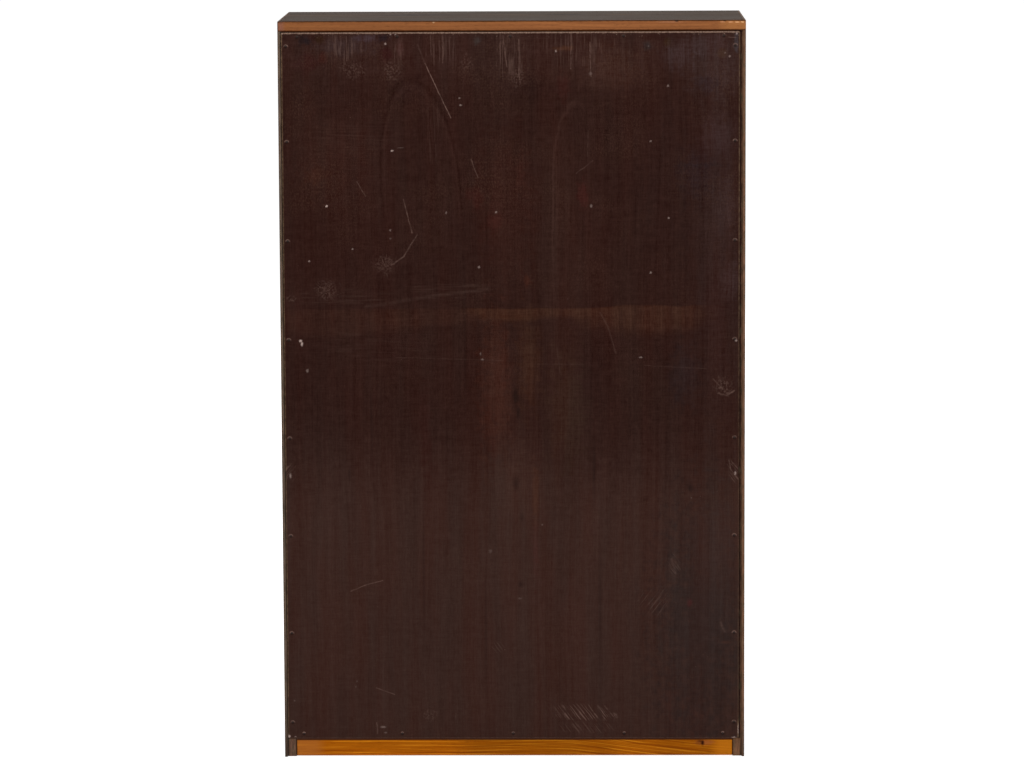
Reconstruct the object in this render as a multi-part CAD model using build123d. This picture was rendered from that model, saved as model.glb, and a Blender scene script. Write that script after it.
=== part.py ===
"""A free-standing open bookcase: a veneered case on a low plinth, with a pinned plywood back
and three loose shelves on turned pegs.

Sizes are in millimetres. The origin is on the floor under the middle of the case. +Z is up, the open
front faces -Y, the back faces +Y, and left and right are as seen from the front.
"""

from build123d import *
import math
import os

# Overall sizes
case_width = 800.0
case_height = 1280.0
case_depth = 320.0

# Boards
side_thickness = 20.0
top_thickness = 17.0
bottom_thickness = 18.0
shelf_thickness = 18.0
front_lipping_thickness = 5.0
rear_lipping_thickness = 5.0
end_lipping_thickness = 3.0
edge_ease = 0.8

# Back panel and the rebate that holds it
panel_thickness = 4.0
rebate_lip = 4.5  # what is left of the side outside the panel
rebate_depth = 6.0
panel_side_gap = 3.0
panel_top_gap = 2.0
panel_bottom_gap = 3.3  # above the rear rail
panel_shift = 2.0  # the panel was pinned nearer the right side
panel_corner_round = 3.0

# Rails
rail_thickness = 18.0
rail_height = 28.0
rail_floor_gap = 1.0
top_rail_height = 28.0
plinth_setback = 30.0

# Dowels
dowel_diameter = 8.0
dowel_length = 30.0
dowel_fit = 0.05  # radial
dowel_end_gap = 1.0
dowel_chamfer = 0.8
dowel_depth_in_top = 11.0
dowel_depth_in_side = 12.0
dowel_edge_inset = 40.0
dowels_per_joint = 4

# Panel pins
panel_pin_length = 16.0
panel_pin_diameter = 1.5
panel_pin_point = 2.0
panel_pin_head_diameter = 3.4
panel_pin_head_height = 1.0
panel_pin_head_round = 0.8
panel_pin_fit = 0.05  # radial
panel_pin_end_gap = 1.0
side_pin_inset = 8.5  # from the panel's side edges
side_pin_top_inset = 23.5
side_pin_bottom_inset = 29.0
side_pin_pitch = 171.0
row_pin_inset = 7.0  # from the panel's top edge
row_pin_end_inset = 28.0
row_pin_shares = (-1.0, -0.53, 0.0, 0.53, 1.0)  # of the way from the middle to the end pins
bottom_pin_share = 0.68  # of the way up the bottom board's edge

# Shelves and the pegs under them
shelf_setback = 8.0
shelf_rear_gap = 4.0
shelf_end_gap = 2.0
shelf_seat_gap = 0.3
peg_shank_diameter = 5.0
peg_shank_length = 10.0
peg_diameter = 6.0
peg_length = 9.0
peg_nose_round = 1.5
peg_flange_diameter = 9.0
peg_flange_thickness = 1.2
peg_fit = 0.1  # radial
peg_end_gap = 1.0
peg_column_inset = 45.0
peg_hole_pitch = 44.0
first_peg_hole_rise = 155.0  # from the bottom board's upper face
peg_hole_top_margin = 110.0
shelf_hole_shares = (0.143, 0.476, 0.81)  # of the way up a column of holes

cut_overrun = 5.0

# Planes worked out from the sizes above
outer_x = case_width / 2
inner_x = outer_x - side_thickness
front_y = -case_depth / 2
rear_y = case_depth / 2
rebate_y = rear_y - rebate_depth
side_top_z = case_height - top_thickness
rail_top_z = rail_floor_gap + rail_height
bottom_top_z = rail_top_z + bottom_thickness
rail_middle_y = rebate_y - rail_thickness / 2
top_rail_z = side_top_z - top_rail_height

rebate_wall_x = outer_x - rebate_lip
panel_left_x = -rebate_wall_x + panel_side_gap + panel_shift
panel_right_x = rebate_wall_x - panel_side_gap + panel_shift
panel_rear_y = rebate_y + panel_thickness
panel_top_z = side_top_z - panel_top_gap
panel_bottom_z = rail_top_z + panel_bottom_gap

top_pin_z = panel_top_z - row_pin_inset
bottom_pin_z = rail_top_z + bottom_thickness * bottom_pin_share

shelf_front_y = front_y + shelf_setback
shelf_rear_y = rebate_y - shelf_rear_gap
peg_hole_radius = peg_shank_diameter / 2 + peg_fit
peg_columns_y = (front_y + peg_column_inset, rebate_y - peg_column_inset)
first_peg_hole_z = bottom_top_z + first_peg_hole_rise
last_hole_number = int((side_top_z - peg_hole_top_margin - first_peg_hole_z) / peg_hole_pitch)
peg_hole_heights = [first_peg_hole_z + peg_hole_pitch * n for n in range(last_hole_number + 1)]

LEFT = -1
RIGHT = 1


def block(low, high):
    """A box between its lowest and its highest corner."""
    size = [b - a for a, b in zip(low, high)]
    middle = [(a + b) / 2 for a, b in zip(low, high)]
    return Pos(*middle) * Box(*size)


def x_span(side, near_x, far_x):
    """The lower and the higher x of a stretch that runs from near_x to far_x, out on one side."""
    return sorted((side * near_x, side * far_x))


def rod(start, direction, radius, length):
    """A cylinder that runs from start along a row axis."""
    return Plane(start, z_dir=direction) * Cylinder(
        radius, length, align=(Align.CENTER, Align.CENTER, Align.MIN)
    )


def drilled(start, direction, radius, depth):
    """What a drill that enters at start takes away, with an overrun outside the face."""
    back = [s - d * cut_overrun for s, d in zip(start, direction)]
    return rod(back, direction, radius, depth + cut_overrun)


def spread(first, last, count):
    """Evenly spaced places from first to last."""
    return [first + (last - first) * n / (count - 1) for n in range(count)]


# Where the pins and dowels are


def side_pin_heights():
    """Heights of the pins down a side: a steady pitch about the middle, and one near each corner."""
    top = panel_top_z - side_pin_top_inset
    bottom = panel_bottom_z + side_pin_bottom_inset
    middle = (panel_top_z + panel_bottom_z) / 2
    inner_pins = int((top - bottom) / side_pin_pitch)
    lowest = middle - side_pin_pitch * (inner_pins - 1) / 2
    return [bottom] + [lowest + side_pin_pitch * n for n in range(inner_pins)] + [top]


def side_pin_x(side):
    """The line of pins down one side of the panel."""
    return panel_left_x + side_pin_inset if side == LEFT else panel_right_x - side_pin_inset


def row_pin_places(z):
    """The pins along the top or the bottom of the panel."""
    middle = (panel_left_x + panel_right_x) / 2
    reach = (panel_right_x - panel_left_x) / 2 - row_pin_end_inset
    return [(middle + reach * share, z) for share in row_pin_shares]


def side_pin_places(side):
    """The pins down one side of the panel."""
    return [(side_pin_x(side), z) for z in side_pin_heights()]


def pin_pilots(places):
    """The pilot holes behind the panel for pins at these places."""
    radius = panel_pin_diameter / 2 + panel_pin_fit
    depth = panel_pin_length - panel_thickness + panel_pin_end_gap
    return [drilled((x, rebate_y, z), (0, -1, 0), radius, depth) for x, z in places]


def top_dowel_places(side):
    """The dowels that join the top to a side, on the side's upper end."""
    middle_x = side * (outer_x - side_thickness / 2)
    rows = spread(front_y + dowel_edge_inset, rear_y - dowel_edge_inset, dowels_per_joint)
    return [(middle_x, y, side_top_z) for y in rows]


def bottom_dowel_places(side):
    """The dowels that join the bottom board to a side, on the side's inner face."""
    rows = spread(front_y + dowel_edge_inset, rebate_y - dowel_edge_inset, dowels_per_joint)
    return [(side * inner_x, y, rail_top_z + bottom_thickness / 2) for y in rows]


def front_rail_dowel_place(side):
    return (side * inner_x, front_y + plinth_setback + rail_thickness / 2, rail_middle_z())


def rear_rail_dowel_place(side):
    return (side * inner_x, rail_middle_y, rail_middle_z())


def top_rail_dowel_place(side):
    """Halfway between the top rail's lower edge and the row of pins, so that no pin meets it."""
    lowest_pin_wall = top_pin_z - panel_pin_diameter / 2 - panel_pin_fit
    return (side * inner_x, rail_middle_y, (top_rail_z + lowest_pin_wall) / 2)


def rail_middle_z():
    return rail_floor_gap + rail_height / 2


def rail_dowel_places(side):
    return [front_rail_dowel_place(side), rear_rail_dowel_place(side), top_rail_dowel_place(side)]


def dowel_holes(places, direction, depth):
    """Dowel holes that go in from these places on a face."""
    radius = dowel_diameter / 2 + dowel_fit
    return [drilled(place, direction, radius, depth + dowel_end_gap) for place in places]


def dowels(places, direction, depth):
    """Dowels sunk into a face by depth, with the rest standing out of it."""
    made = []
    for place in places:
        start = [p + d * depth for p, d in zip(place, direction)]
        back = [-d for d in direction]
        dowel = rod(start, back, dowel_diameter / 2, dowel_length)
        ends = dowel.edges().filter_by(GeomType.CIRCLE)
        made.append(chamfer(ends, dowel_chamfer))
    return made


# The case


def side_blank(side):
    """One side before its lipping is parted off, with its long outside edges eased."""
    low_x, high_x = x_span(side, inner_x, outer_x)
    blank = block((low_x, front_y, 0), (high_x, rear_y, side_top_z))
    upright = blank.edges().filter_by(Axis.Z)
    rear_inner = upright.sort_by(lambda e: side * e.center().X - e.center().Y)[0]
    return fillet([e for e in upright if e != rear_inner], edge_ease)


def side_board(side):
    """One side with its rebate, its peg holes and the holes for its dowels and pins."""
    inward = (-side, 0, 0)
    outward = (side, 0, 0)
    low_x, high_x = x_span(side, inner_x - cut_overrun, outer_x + cut_overrun)
    behind_lipping = block(
        (low_x, front_y + front_lipping_thickness, 0), (high_x, rear_y, side_top_z)
    )
    board = side_blank(side) & behind_lipping
    low_x, high_x = x_span(side, inner_x - cut_overrun, rebate_wall_x)
    board -= block(
        (low_x, rebate_y, -cut_overrun), (high_x, rear_y + cut_overrun, side_top_z + cut_overrun)
    )
    hole_depth = peg_shank_length + peg_end_gap
    peg_holes = [
        drilled((side * inner_x, y, z), outward, peg_hole_radius, hole_depth)
        for y in peg_columns_y
        for z in peg_hole_heights
    ]
    board -= peg_holes
    board -= dowel_holes(top_dowel_places(side), (0, 0, -1), dowel_length - dowel_depth_in_top)
    inner_places = bottom_dowel_places(side) + rail_dowel_places(side)
    board -= dowel_holes(inner_places, outward, dowel_depth_in_side)
    board -= pin_pilots(side_pin_places(side))
    return board


def side_lipping(side):
    """The solid strip on a side's front edge."""
    low_x, high_x = x_span(side, inner_x - cut_overrun, outer_x + cut_overrun)
    strip = block((low_x, front_y, 0), (high_x, front_y + front_lipping_thickness, side_top_z))
    return side_blank(side) & strip


def top_blank():
    """The whole top with all its edges eased, before it is parted into board and lippings."""
    blank = block((-outer_x, front_y, side_top_z), (outer_x, rear_y, case_height))
    return fillet(blank.edges(), edge_ease)


def top_pieces():
    """The top's board and its four lippings. Those at the front and rear run the full width."""
    blank = top_blank()
    core_x = outer_x - end_lipping_thickness
    core_front_y = front_y + front_lipping_thickness
    core_rear_y = rear_y - rear_lipping_thickness
    low_z = side_top_z - cut_overrun
    high_z = case_height + cut_overrun
    wide_x = outer_x + cut_overrun
    board = blank & block((-core_x, core_front_y, low_z), (core_x, core_rear_y, high_z))
    for side in (LEFT, RIGHT):
        board -= dowel_holes(top_dowel_places(side), (0, 0, 1), dowel_depth_in_top)
    pieces = {
        "top_board": board,
        "top_front_lipping": blank
        & block((-wide_x, front_y, low_z), (wide_x, core_front_y, high_z)),
        "top_rear_lipping": blank & block((-wide_x, core_rear_y, low_z), (wide_x, rear_y, high_z)),
    }
    for side, name in ((LEFT, "top_left_lipping"), (RIGHT, "top_right_lipping")):
        low_x, high_x = x_span(side, core_x, outer_x)
        pieces[name] = blank & block((low_x, core_front_y, low_z), (high_x, core_rear_y, high_z))
    return pieces


def lipped_board(half_width, near_y, far_y, low_z, thickness):
    """A board whose eased front edge is a solid lipping. Returns the board and the lipping."""
    blank = block((-half_width, near_y, low_z), (half_width, far_y, low_z + thickness))
    front_edges = blank.faces().sort_by(Axis.Y)[0].edges().filter_by(Axis.X)
    blank = fillet(front_edges, edge_ease)
    joint_y = near_y + front_lipping_thickness
    high_z = low_z + thickness
    lipping = blank & block((-half_width, near_y, low_z), (half_width, joint_y, high_z))
    board = blank & block((-half_width, joint_y, low_z), (half_width, far_y, high_z))
    return board, lipping


def bottom_pieces():
    """The bottom board, between the sides, and its lipping."""
    board, lipping = lipped_board(inner_x, front_y, rebate_y, rail_top_z, bottom_thickness)
    for side in (LEFT, RIGHT):
        depth = dowel_length - dowel_depth_in_side
        board -= dowel_holes(bottom_dowel_places(side), (-side, 0, 0), depth)
    board -= pin_pilots(row_pin_places(bottom_pin_z))
    return {"bottom_board": board, "bottom_board_lipping": lipping}


def rail(near_y, low_z, height, dowel_place):
    """A rail between the sides, drilled at both ends for its dowels."""
    bar = block((-inner_x, near_y, low_z), (inner_x, near_y + rail_thickness, low_z + height))
    for side in (LEFT, RIGHT):
        depth = dowel_length - dowel_depth_in_side
        bar -= dowel_holes([dowel_place(side)], (-side, 0, 0), depth)
    return bar


def rails():
    """The front and rear plinth rails, and the rail under the top that the panel is pinned to."""
    rear_near_y = rebate_y - rail_thickness
    front_near_y = front_y + plinth_setback
    top_rail = rail(rear_near_y, top_rail_z, top_rail_height, top_rail_dowel_place)
    top_rail -= pin_pilots(row_pin_places(top_pin_z))
    return {
        "front_plinth_rail": rail(
            front_near_y, rail_floor_gap, rail_height, front_rail_dowel_place
        ),
        "rear_plinth_rail": rail(rear_near_y, rail_floor_gap, rail_height, rear_rail_dowel_place),
        "top_rear_rail": top_rail,
    }


def all_dowels():
    """The dowels, one group for each kind of joint."""
    groups = {"top_dowels": [], "bottom_board_dowels": [], "rail_dowels": []}
    for side in (LEFT, RIGHT):
        outward = (side, 0, 0)
        groups["top_dowels"] += dowels(top_dowel_places(side), (0, 0, 1), dowel_depth_in_top)
        groups["bottom_board_dowels"] += dowels(
            bottom_dowel_places(side), outward, dowel_depth_in_side
        )
        groups["rail_dowels"] += dowels(rail_dowel_places(side), outward, dowel_depth_in_side)
    return {name: Compound(children=group) for name, group in groups.items()}


# The back


def all_pin_places():
    return (
        side_pin_places(LEFT)
        + side_pin_places(RIGHT)
        + row_pin_places(top_pin_z)
        + row_pin_places(bottom_pin_z)
    )


def back_panel():
    """The plywood back, pinned into the rebates of the sides, with its corners a little rubbed."""
    panel = block(
        (panel_left_x, rebate_y, panel_bottom_z), (panel_right_x, panel_rear_y, panel_top_z)
    )
    panel = fillet(panel.edges().filter_by(Axis.Y), panel_corner_round)
    radius = panel_pin_diameter / 2 + panel_pin_fit
    depth = panel_thickness + cut_overrun
    panel -= [
        drilled((x, panel_rear_y, z), (0, -1, 0), radius, depth) for x, z in all_pin_places()
    ]
    return panel


def panel_pin():
    """A pin driven along -Z, with its head's underside at the origin."""
    radius = panel_pin_diameter / 2
    straight = panel_pin_length - panel_pin_point
    head = rod((0, 0, 0), (0, 0, 1), panel_pin_head_diameter / 2, panel_pin_head_height)
    head = fillet(head.edges().sort_by(Axis.Z)[-1], panel_pin_head_round)
    shank = rod((0, 0, 0), (0, 0, -1), radius, straight)
    point = Plane((0, 0, -straight), z_dir=(0, 0, -1)) * Cone(
        radius, 0, panel_pin_point, align=(Align.CENTER, Align.CENTER, Align.MIN)
    )
    return head + shank + point


def panel_pins():
    """Every pin of the back panel."""
    pin = panel_pin()
    upright = Rot(X=-90)  # turns the pin's own +Z to face +Y
    return Compound(children=[Pos(x, panel_rear_y, z) * upright * pin for x, z in all_pin_places()])


# The shelves


def shelf_hole_number(share):
    """The hole that a shelf's pegs are in, counted up its column."""
    return math.floor(share * last_hole_number + 0.5)


def shelf_low_z(share):
    """The height of a shelf's underside, on top of its pegs."""
    peg_top = peg_hole_heights[shelf_hole_number(share)] + peg_diameter / 2
    return peg_top + shelf_seat_gap


def turned_peg():
    """A peg with its shank towards -Z and the stub that the shelf lies on towards +Z."""
    shank = rod((0, 0, 0), (0, 0, -1), peg_shank_diameter / 2, peg_shank_length)
    flange = rod((0, 0, 0), (0, 0, 1), peg_flange_diameter / 2, peg_flange_thickness)
    stub = rod((0, 0, 0), (0, 0, 1), peg_diameter / 2, peg_flange_thickness + peg_length)
    stub = fillet(stub.edges().sort_by(Axis.Z)[-1], peg_nose_round)
    return shank + flange + stub


def shelf_pegs(share):
    """The four pegs under one shelf."""
    peg = turned_peg()
    z = peg_hole_heights[shelf_hole_number(share)]
    made = []
    for side in (LEFT, RIGHT):
        for y in peg_columns_y:
            made.append(Plane((side * inner_x, y, z), z_dir=(-side, 0, 0)) * peg)
    return Compound(children=made)


def shelf_pieces():
    """The loose shelves, their lippings and their pegs."""
    pieces = {}
    for name, share in zip(("lower", "middle", "upper"), shelf_hole_shares):
        board, lipping = lipped_board(
            inner_x - shelf_end_gap,
            shelf_front_y,
            shelf_rear_y,
            shelf_low_z(share),
            shelf_thickness,
        )
        pieces[f"{name}_shelf"] = board
        pieces[f"{name}_shelf_lipping"] = lipping
        pieces[f"{name}_shelf_pegs"] = shelf_pegs(share)
    return pieces


def bookcase():
    """Every piece of the bookcase by name."""
    return {
        "left_side": side_board(LEFT),
        "right_side": side_board(RIGHT),
        "left_side_lipping": side_lipping(LEFT),
        "right_side_lipping": side_lipping(RIGHT),
        **top_pieces(),
        **bottom_pieces(),
        **rails(),
        **all_dowels(),
        "back_panel": back_panel(),
        "back_panel_pins": panel_pins(),
        **shelf_pieces(),
    }


os.makedirs("parts", exist_ok=True)
for piece_name, piece in bookcase().items():
    export_step(piece, f"parts/{piece_name}.step")
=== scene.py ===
"""A bookcase seen from behind: its finishes, worn edges and panel pins, and its stage."""

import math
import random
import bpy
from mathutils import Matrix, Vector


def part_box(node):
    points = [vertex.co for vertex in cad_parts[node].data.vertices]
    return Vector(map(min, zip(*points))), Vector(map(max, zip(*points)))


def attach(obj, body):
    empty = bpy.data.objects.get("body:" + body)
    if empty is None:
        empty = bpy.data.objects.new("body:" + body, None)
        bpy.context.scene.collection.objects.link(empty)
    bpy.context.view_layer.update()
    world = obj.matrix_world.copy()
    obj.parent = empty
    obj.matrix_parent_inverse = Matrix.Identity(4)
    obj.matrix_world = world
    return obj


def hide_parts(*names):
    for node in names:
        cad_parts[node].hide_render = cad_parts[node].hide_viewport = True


bl_info = {
    "name": "Bookcase",
    "version": (1, 0, 0),
    "blender": (4, 5, 0),
    "location": "View3D > Sidebar > Bookcase",
    "description": "Finishes a veneered bookcase with a pinned back panel and three loose shelves",
    "category": "Object",
}

import bmesh
import bpy
from bpy.props import FloatProperty, FloatVectorProperty, IntProperty, PointerProperty
from bpy.types import Operator, Panel, PropertyGroup
from mathutils import Quaternion, Vector

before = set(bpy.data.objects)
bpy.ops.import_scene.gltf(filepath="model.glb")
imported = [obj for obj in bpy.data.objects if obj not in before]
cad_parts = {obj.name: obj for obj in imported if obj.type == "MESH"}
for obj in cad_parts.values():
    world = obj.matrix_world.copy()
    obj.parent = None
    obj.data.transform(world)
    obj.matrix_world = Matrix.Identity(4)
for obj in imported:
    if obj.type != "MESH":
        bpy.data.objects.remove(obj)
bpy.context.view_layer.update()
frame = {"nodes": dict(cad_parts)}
PANEL_LOW, PANEL_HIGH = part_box("back_panel")
SHELVES = ("lower_shelf", "middle_shelf", "upper_shelf")
PIN_ROW_SHARES = (-1.0, -0.53, 0.0, 0.53, 1.0)


def paint(red, green, blue):
    """The linear colour of a shade given in a screen's steps from 0 to 255."""
    shares = (red / 255, green / 255, blue / 255)
    return tuple(s / 12.92 if s <= 0.04045 else ((s + 0.055) / 1.055) ** 2.4 for s in shares)


def length(label, words, default):
    """A property that holds a length in metres."""
    return FloatProperty(name=label, description=words, default=default, min=0.0, precision=5,
                         subtype="DISTANCE", unit="LENGTH")


def shade(label, words, default):
    """A property that holds a colour."""
    return FloatVectorProperty(name=label, description=words, default=default, size=3, min=0.0,
                               max=1.0, subtype="COLOR")


# Settings a user would change


class BookcaseSizes(PropertyGroup):
    """Sizes of the worn edges and of the panel pins."""

    panel_corner: length("Panel corner", "Radius of the back panel's corners", 0.003)
    rim_step: length("Rim step", "Length of one piece of a worn edge", 0.0045)
    panel_wear: length("Panel wear", "How far the back panel's rear rim is worn round", 0.0010)
    strip_wear: length("Strip wear", "How far the edges of lippings and rails are worn round", 0.0009)
    roughness: length("Edge roughness", "How far a worn edge wanders", 0.00022)
    pin_head: length("Pin head", "Width of a panel pin's head", 0.0034)
    pin_rise: length("Pin rise", "How far a pin's head stands off the panel", 0.0010)
    pin_shank: length("Pin shank", "Thickness of a pin's shank", 0.0015)
    pin_length: length("Pin length", "Length of a pin under its head", 0.016)
    pin_side_inset: length("Pin side inset", "From the panel's side edges to the side pins", 0.0085)
    pin_top_inset: length("Pin top inset", "From the panel's top edge to the first side pin", 0.0235)
    pin_bottom_inset: length("Pin bottom inset", "From the panel's foot to the last side pin", 0.029)
    pin_pitch: length("Pin pitch", "Distance between the pins down a side", 0.171)
    row_end_inset: length("Row end inset", "From the panel's side edges to the first row pin", 0.028)
    row_top_inset: length("Row top inset", "From the panel's top edge to the upper row", 0.007)
    row_bottom_rise: length("Row rise", "From the panel's bottom edge to the lower row", 0.00894)
    pin_tilt: FloatProperty(name="Pin tilt", description="Most that a pin leans", default=0.09,
                            subtype="ANGLE", unit="ROTATION")
    seed: IntProperty(name="Seed", description="Starts the chance in edges and pins", default=7)


class BookcaseFinishes(PropertyGroup):
    """Colours of the woods and metals."""

    stain: shade("Stain", "The back panel's dark red-brown stain", paint(43, 22, 17))
    stain_haze: shade("Haze", "The duller, paler stain low on the panel", paint(56, 35, 29))
    bare: shade("Bare wood", "Wood laid bare by chips in the panel", paint(200, 174, 164))
    scratch: shade("Scratch", "Pale scratched stain", paint(138, 109, 98))
    veneer: shade("Veneer", "The case's dark veneer", paint(68, 52, 39))
    veneer_deep: shade("Veneer grain", "Dark lines in the veneer's grain", paint(34, 25, 19))
    lipping: shade("Lipping", "The lippings' solid wood", paint(74, 54, 40))
    rear_lipping: shade("Rear lipping", "The top's orange-brown rear lipping", paint(150, 94, 55))
    grey_edge: shade("Grey edge", "Bare rear edge of the side seen left", paint(93, 75, 63))
    brown_edge: shade("Brown edge", "Bare rear edge of the side seen right", paint(108, 76, 56))
    pine: shade("Pine", "The rails' amber pine", paint(160, 86, 5))
    pine_deep: shade("Pine grain", "Dark lines in the pine", paint(126, 58, 0))
    beech: shade("Beech", "The dowels", paint(196, 158, 112))
    steel: shade("Steel", "The panel pins", paint(66, 54, 49))
    brass: shade("Brass", "The shelf pegs", paint(190, 150, 78))


class BookcaseStage(PropertyGroup):
    """Camera, lamps and floor."""

    lens: FloatProperty(name="Lens", description="Focal length on a 36 mm frame", default=161.60,
                        unit="CAMERA")
    camera_place: FloatVectorProperty(name="Camera", description="Where the camera stands",
                                      default=(-0.1077, 8.0137, 1.6988), subtype="XYZ")
    camera_aim: FloatVectorProperty(name="Aim", description="What the camera looks at",
                                    default=(0.0016, 0.160, 0.6549), subtype="XYZ")
    camera_roll: FloatProperty(name="Roll", description="Turn about the line of sight",
                               default=math.radians(-0.241), subtype="ANGLE", unit="ROTATION")
    floor_width: length("Floor width", "Width of the pale floor", 60.0)
    ambient: FloatProperty(name="Ambient", description="Light from all round", default=0.42)
    lamp_power: FloatProperty(name="Lamp power", description="Power of the main lamp behind",
                              default=118.0, subtype="POWER")


def sizes():
    return bpy.context.scene.bookcase_sizes


def finishes():
    return bpy.context.scene.bookcase_finishes


def stage():
    return bpy.context.scene.bookcase_stage


# Node trees

ORIGIN = (0.0, 0.0, 0.0)


class Value:
    """A value in a node tree. Reckoning with it adds maths nodes to the tree."""

    def __init__(self, graph, socket):
        self.graph = graph
        self.socket = socket

    def __add__(self, other):
        return self.graph.maths("ADD", self, other)

    def __radd__(self, other):
        return self.graph.maths("ADD", other, self)

    def __sub__(self, other):
        return self.graph.maths("SUBTRACT", self, other)

    def __rsub__(self, other):
        return self.graph.maths("SUBTRACT", other, self)

    def __mul__(self, other):
        return self.graph.maths("MULTIPLY", self, other)

    def __truediv__(self, other):
        return self.graph.maths("DIVIDE", self, other)

    def __abs__(self):
        return self.graph.maths("ABSOLUTE", self)

    def around(self, amount):
        """Turns a value from 0 to 1 into one that swings about 0."""
        return self.graph.maths("MULTIPLY_ADD", self, 2 * amount, -amount)

    def fade(self, start, end, low=0.0, high=1.0):
        """Smoothly from low, where the value is at start, to high, where it is at end."""
        feeds = {"Value": self, "From Min": start, "From Max": end, "To Min": low, "To Max": high}
        return self.graph.out("ShaderNodeMapRange", feeds, "Result", interpolation_type="SMOOTHSTEP",
                              clamp=False)

    def noise(self, stretch, detail=2.0, roughness=0.5):
        """Soft noise with so many lumps to the metre: one number, a pair across and up, or three."""
        if isinstance(stretch, float):
            stretch = (stretch, stretch, stretch)
        elif len(stretch) == 2:
            stretch = (stretch[0], 1.0, stretch[1])
        feeds = {"Vector": self.graph.vector("MULTIPLY", self, stretch), "Scale": 1.0,
                 "Detail": detail, "Roughness": roughness}
        return self.graph.out("ShaderNodeTexNoise", feeds, "Fac")


class Graph:
    """One node tree, with short calls that add a node and give its output."""

    def __init__(self, tree):
        self.tree = tree

    def feed(self, socket, value):
        if isinstance(value, Value):
            self.tree.links.new(value.socket, socket)
        elif socket.type == "RGBA":
            socket.default_value = (*tuple(value)[:3], 1.0)
        else:
            socket.default_value = value

    def add(self, kind, feeds, **settings):
        node = self.tree.nodes.new(kind)
        for name, value in settings.items():
            setattr(node, name, value)
        for key, value in feeds.items():
            self.feed(node.inputs[key], value)
        return node

    def out(self, kind, feeds, key=0, **settings):
        return Value(self, self.add(kind, feeds, **settings).outputs[key])

    def outs(self, node):
        return {socket.name: Value(self, socket) for socket in node.outputs}

    def maths(self, operation, first, second=0.0, third=0.0):
        return self.out("ShaderNodeMath", {0: first, 1: second, 2: third}, operation=operation)

    def most(self, first, second):
        return self.maths("MAXIMUM", first, second)

    def least(self, first, second):
        return self.maths("MINIMUM", first, second)

    def vector(self, operation, first, second=ORIGIN):
        flat = operation in ("DOT_PRODUCT", "LENGTH", "DISTANCE")
        return self.out("ShaderNodeVectorMath", {0: first, 1: second}, "Value" if flat else "Vector",
                        operation=operation)

    def scaled(self, vector, amount):
        feeds = {0: vector, "Scale": amount}
        return self.out("ShaderNodeVectorMath", feeds, "Vector", operation="SCALE")

    def split(self, vector):
        return tuple(self.outs(self.add("ShaderNodeSeparateXYZ", {0: vector})).values())

    def join(self, across, through, along):
        return self.out("ShaderNodeCombineXYZ", {0: across, 1: through, 2: along})

    def grey(self, level):
        return self.join(level, level, level)

    def blend(self, share, first, second, kind="MIX"):
        feeds = {0: share, 6: first, 7: second}
        return self.out("ShaderNodeMix", feeds, 2, data_type="RGBA", blend_type=kind)

    def tinted(self, colour, tint):
        return self.blend(1.0, colour, tint, "MULTIPLY")

    def line_noise(self, value, scale, detail=2.0):
        """Noise along one line."""
        feeds = {"W": value, "Scale": scale, "Detail": detail}
        return self.out("ShaderNodeTexNoise", feeds, "Fac", noise_dimensions="1D")

    def normal(self):
        return self.out("ShaderNodeNewGeometry", {}, "Normal")

    def group(self, tree, label="", **feeds):
        """The outputs of a node group, whose inputs have spaces where the feeds have underscores."""
        node = self.add("ShaderNodeGroup", {}, node_tree=tree, label=label)
        for name, value in feeds.items():
            self.feed(node.inputs[name.replace("_", " ")], value)
        return self.outs(node)


class MaterialGraph(Graph):
    """The tree of a new material, with the place on the object."""

    def __init__(self, name, roughness, specular, metallic=0.0):
        self.material = bpy.data.materials.new(name)
        self.material.use_nodes = True
        super().__init__(self.material.node_tree)
        self.give("Roughness", roughness)
        self.give("Specular IOR Level", specular)
        self.give("Metallic", metallic)
        self.place = self.out("ShaderNodeTexCoord", {}, "Object")

    def give(self, label, value):
        """Feeds an input of the shader."""
        self.feed(self.tree.nodes["Principled BSDF"].inputs[label], value)

    def relief(self, height, distance):
        """Raises the surface by a height from 0 to 1 times a distance in metres."""
        feeds = {"Height": height, "Distance": distance, "Strength": 1.0}
        self.give("Normal", self.out("ShaderNodeBump", feeds, "Normal"))

    def show(self, colour):
        """Gives the surface a colour, in place of the colour so far."""
        self.colour = colour
        self.give("Base Color", colour)

    def lay(self, share, colour):
        """Covers a share of the colour so far with another."""
        self.show(self.blend(share, self.colour, colour))

    def tint(self, tint):
        self.show(self.tinted(self.colour, tint))


def node_group(**takes):
    """Makes a shader node group of a function, built the first time that it is asked for."""
    takes = {"Vector": ORIGIN, **{name.replace("_", " "): value for name, value in takes.items()}}

    def of(fill):
        def built():
            if fill.__name__ in bpy.data.node_groups:
                return bpy.data.node_groups[fill.__name__]
            tree = bpy.data.node_groups.new(fill.__name__, "ShaderNodeTree")
            for label, value in takes.items():
                kind = "NodeSocketFloat" if isinstance(value, float) else "NodeSocketVector"
                socket = tree.interface.new_socket(label, in_out="INPUT", socket_type=kind)
                socket.default_value = value
            graph = Graph(tree)
            given = graph.outs(graph.add("NodeGroupInput", {}))
            gives = fill(graph, *(given[label] for label in takes))
            for label in gives:
                tree.interface.new_socket(label, in_out="OUTPUT", socket_type="NodeSocketFloat")
            graph.add("NodeGroupOutput", gives)
            return tree
        return built
    return of


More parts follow.
